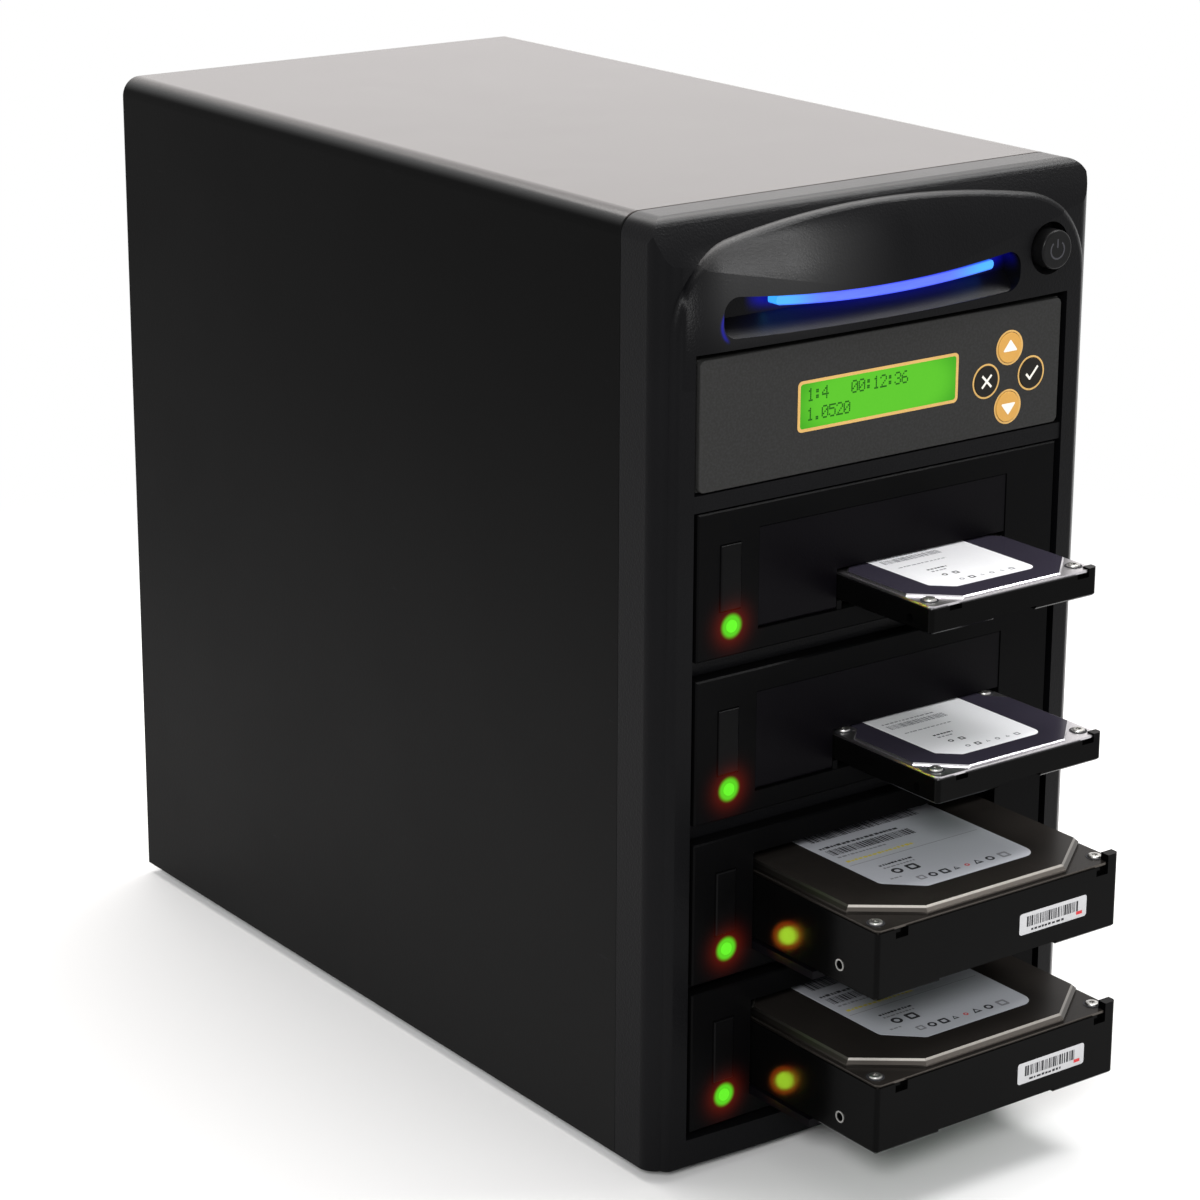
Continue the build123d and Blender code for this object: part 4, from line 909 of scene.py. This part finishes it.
largeLabelLook = {
    "corners": [(33, 14.4, 2.5), (79.7, 14.4, 5), (79.7, 112, 2), (22, 112, 2), (22, 24.5, 2.5)],
    "colour": "b6b8bf", "roughness": 0.34, "thick": 0.12, "slot": "lid_large", "bars": largeBars,
    "dashes": largeDashes, "rules": [largeRule], "signs": largeSigns}
smallLabelLook = {
    "corners": [(19.5, 10.2, 1.5), (53.6, 10.2, 3.5), (53.6, 74, 1.5), (13, 74, 1.5),
                (13, 16, 1.5)],
    "colour": "eeeef1", "roughness": 0.3, "thick": 0.08, "slot": "lid_small", "bars": smallBars,
    "dashes": smallDashes, "rules": [], "signs": smallSigns}

stickerLook = {"left": 59.2, "low": 6.9, "width": 28.8, "height": 7.2, "corner": 0.9, "thick": 0.12,
               "colour": "bdbdbf", "roughness": 0.4}


def makeFrontSticker(number, look):
    # a small sticker with bars on the large drive's front
    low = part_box(f"drive_base_{number}")[0]
    front = plane(low, right, upright)
    left, bottom, thick = look["left"], look["low"], look["thick"]
    bm = bmesh.new()
    outline = rectangle(left, bottom, look["width"], look["height"], look["corner"])
    slab(bm, front, outline, sunk, thick, 0, 0.03)
    blocks = barcode(left + 3, bottom + 2.4, 21.5, 3.5, 60 + number)
    blocks += dashes(left + 5, bottom + 0.8, 14, 0.8, 70 + number)
    for block in blocks:
        slab(bm, front, rectangle(*block), thick - 0.01, thick + 0.02, 1)
    slab(bm, front, rectangle(left + 24.4, bottom + 1.2, 2.6, 1.1), thick - 0.01, thick + 0.03, 2)
    paper = labelPaper(f"stickerPaper{number}", look["colour"], look["roughness"])
    inks = [paper, inkDark, inkRed]
    addPiece(f"front_sticker_{number}", bm, inks, f"drive_{number}")


def screwRings(look):
    # a screw's outline, from the tip of its shank to the floor of its six-lobed recess
    def steady(value):
        return lambda turn: value

    def star(share):
        return lambda turn: share * look["recess"] * (0.82 + 0.18 * math.cos(6 * turn))

    head, radius, shank = look["head"], look["radius"], steady(look["shankRadius"])
    return [(shank, -look["shank"]), (shank, 0.0), (steady(radius), 0.0), (steady(radius), head * 0.45),
            (steady(radius * 0.93), head * 0.85), (steady(radius * 0.8), head), (star(1.0), head),
            (star(1.0), head - look["depth"]), (star(0.6), head - look["depth"] * 1.05)]


lidScrewLook = {"radius": 2.2, "head": 0.75, "recess": 1.15, "depth": 0.6, "shank": 2.9,
                "shankRadius": 0.95, "side": 4.6, "end": 6.2, "seatRim": 0.7}


def makeLidScrews(number, look):
    # six screws round the lid, each ringed by a flat dark band
    low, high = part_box(f"drive_base_{number}")
    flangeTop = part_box(f"drive_screws_{number}")[1].z - look["head"] * mm
    bm = bmesh.new()
    side, end = look["side"] * mm, look["end"] * mm
    outer = circle(0, 0, look["radius"] + look["seatRim"], 48)
    inner = circle(0, 0, look["radius"] + 0.02, 48)
    for x in (low.x + side, high.x - side):
        for y in (low.y + end, (low.y + high.y) / 2, high.y - end):
            place = plane(Vector((x, y, flangeTop)), right, back)
            lathe(bm, place, screwRings(look), 0, 1)
            band(bm, place, outer, inner, sunk, 0.08, 1)
    addPiece(f"lid_screws_{number}", bm, [finishes["screw_steel"], inkDark], f"drive_{number}",
             [f"drive_screws_{number}"])


threadLook = {"hole": 1.45, "ring": 1.95, "reach": 0.04, "inward": -0.3,
              "along": (16.9, 76.9, 118.5), "rise": 6.35}


def makeThreads(number, look):
    # bright screw threads in the side holes
    low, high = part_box(f"drive_base_{number}")
    bm = bmesh.new()
    ring, hole = circle(0, 0, look["ring"]), circle(0, 0, look["hole"])
    for along in look["along"]:
        for x, outward in ((low.x, -1), (high.x, 1)):
            spot = Vector((x, low.y + along * mm, low.z + look["rise"] * mm))
            place = plane(spot, back * -outward, upright)
            band(bm, place, ring, hole, look["inward"], look["reach"])
    steel = [finishes["screw_steel"]]
    addPiece(f"side_threads_{number}", bm, steel, f"drive_{number}")


for number in range(1, 5):
    makeLabel(number, smallLabelLook if number < 3 else largeLabelLook)
    makeLidScrews(number, lidScrewLook)
    if number > 2:
        makeFrontSticker(number, stickerLook)
        makeThreads(number, threadLook)
print("drive pieces done")


# Studio: floor, soft lamps, glow lamps and camera

def seenDirectly(graph):
    # camera, glossy and transmission rays
    path = graph.add("LightPath")
    return path + path.other(3) + path.other(6)


studioLook = {"floorSize": 14.0, "floorColour": (0.86, 0.86, 0.86, 1), "near": 0.3, "far": 0.7,
              "worldLight": 0.55}


def makeFloor(look):
    # matt near the object, so that it keeps the shadow, and plain white further away
    mesh = bpy.data.meshes.new("studio_floor")
    half = look["floorSize"] / 2
    corners = [(-half, -half, 0), (half, -half, 0), (half, half, 0), (-half, half, 0)]
    mesh.from_pydata(corners, [], [(0, 1, 2, 3)])
    floor = bpy.data.objects.new("studio_floor", mesh)
    bpy.context.scene.collection.objects.link(floor)
    material = bpy.data.materials.new("floorSweep")
    material.use_nodes = True
    graph = Graph(material.node_tree)
    graph.tree.nodes.clear()
    x, y, z = graph.axes()
    distance = graph.add("Math", {"operation": "SQRT"}, {0: x * x + y * y})
    away = graph.fade(distance, look["near"], look["far"])
    amount = graph.add("Math", {"operation": "MINIMUM"}, {0: away * seenDirectly(graph), 1: 1.0})
    matt = graph.add("BsdfDiffuse", sockets={"Color": look["floorColour"]})
    white = graph.add("Emission", sockets={"Color": (1, 1, 1, 1), "Strength": 1.0})
    mixed = graph.add("MixShader", sockets={0: amount, 1: matt, 2: white})
    graph.add("OutputMaterial", sockets={0: mixed})
    mesh.materials.append(material)


def makeWorld(look):
    # white where it is seen, softer where it lights the object
    world = bpy.data.worlds.new("studioWorld")
    bpy.context.scene.world = world
    world.use_nodes = True
    graph = Graph(world.node_tree)
    backdrop = graph.tree.nodes["Background"]
    backdrop.inputs["Color"].default_value = (1, 1, 1, 1)
    seen = graph.add("Math", {"operation": "MINIMUM"}, {0: seenDirectly(graph), 1: 1.0})
    graph.give(backdrop.inputs["Strength"], seen * (1 - look["worldLight"]) + look["worldLight"])


def addLamp(name, place, aim, width, height, power, colour=(1, 1, 1)):
    lamp = bpy.data.lights.new(name, "AREA")
    lamp.shape = "RECTANGLE"
    lamp.size, lamp.size_y = width, height
    lamp.energy = power
    lamp.color = colour
    holder = bpy.data.objects.new(name, lamp)
    bpy.context.scene.collection.objects.link(holder)
    holder.location = place
    holder.rotation_euler = (Vector(aim) - Vector(place)).to_track_quat("-Z", "Y").to_euler()
    holder.visible_camera = False
    return holder


lamps = [
    ("overheadBox", (0.25, 0.35, 1.5), (0, 0, 0.15), 1.6, 1.2, 26, (1.0, 0.97, 0.95)),
    ("backBox", (1.6, 2.0, 0.75), (0, 0, 0.3), 3.0, 1.3, 6, (1.0, 0.92, 0.89)),
    ("shoulderBox", (-1.5, -1.6, 1.3), (0, -0.1, 0.25), 0.5, 0.5, 36),
    ("crownBox", (0.75, -0.42, 1.2), (0, -0.13, 0.28), 0.35, 0.35, 8),
]
glowLook = {"aim": (0.6, -0.77, 0.24), "spread": 42}
glows = [  # distance before the rack's face, diameter, power, colour
    ("lampGreen", 3.4, 5.6, 0.00042, (0.3, 1.0, 0.04)),
    ("lampRed", 3.2, 9.2, 0.0003, (1.0, 0.1, 0.01)),
]


def addGlow(name, place, width, power, colour, look):
    # a disc that shines past the rack's face onto the drive beside it
    holder = addLamp(name, place, Vector(place) + Vector(look["aim"]), width, width, power, colour)
    holder.data.shape = "DISK"
    holder.data.spread = math.radians(look["spread"])


makeFloor(studioLook)
makeWorld(studioLook)
for lamp in lamps:
    addLamp(*lamp)
for number, (lampAcross, lampUp) in enumerate(lampPlaces):
    for name, before, width, power, colour in glows:
        place = (lampAcross, faceY - before * mm, lampUp)
        addGlow(f"{name}{number}", place, width * mm, power, colour, glowLook)

cameraLook = {"place": (-0.70046, -0.92534, 0.5204), "yaw": 0.6214, "pitch": 0.2868,
              "focalPixels": 3475.7, "imagePixels": 1200, "shift": (0.05, -0.075)}


def makeCamera(look):
    data = bpy.data.cameras.new("studioCamera")
    camera = bpy.data.objects.new("studioCamera", data)
    bpy.context.scene.collection.objects.link(camera)
    data.sensor_width = 36
    data.lens = look["focalPixels"] / look["imagePixels"] * data.sensor_width
    data.shift_x, data.shift_y = look["shift"]
    data.clip_start, data.clip_end = 0.05, 50
    camera.location = look["place"]
    camera.rotation_euler = (math.pi / 2 - look["pitch"], 0, -look["yaw"])
    bpy.context.scene.camera = camera


makeCamera(cameraLook)
bpy.context.scene.view_settings.view_transform = "Standard"

print("studio done")
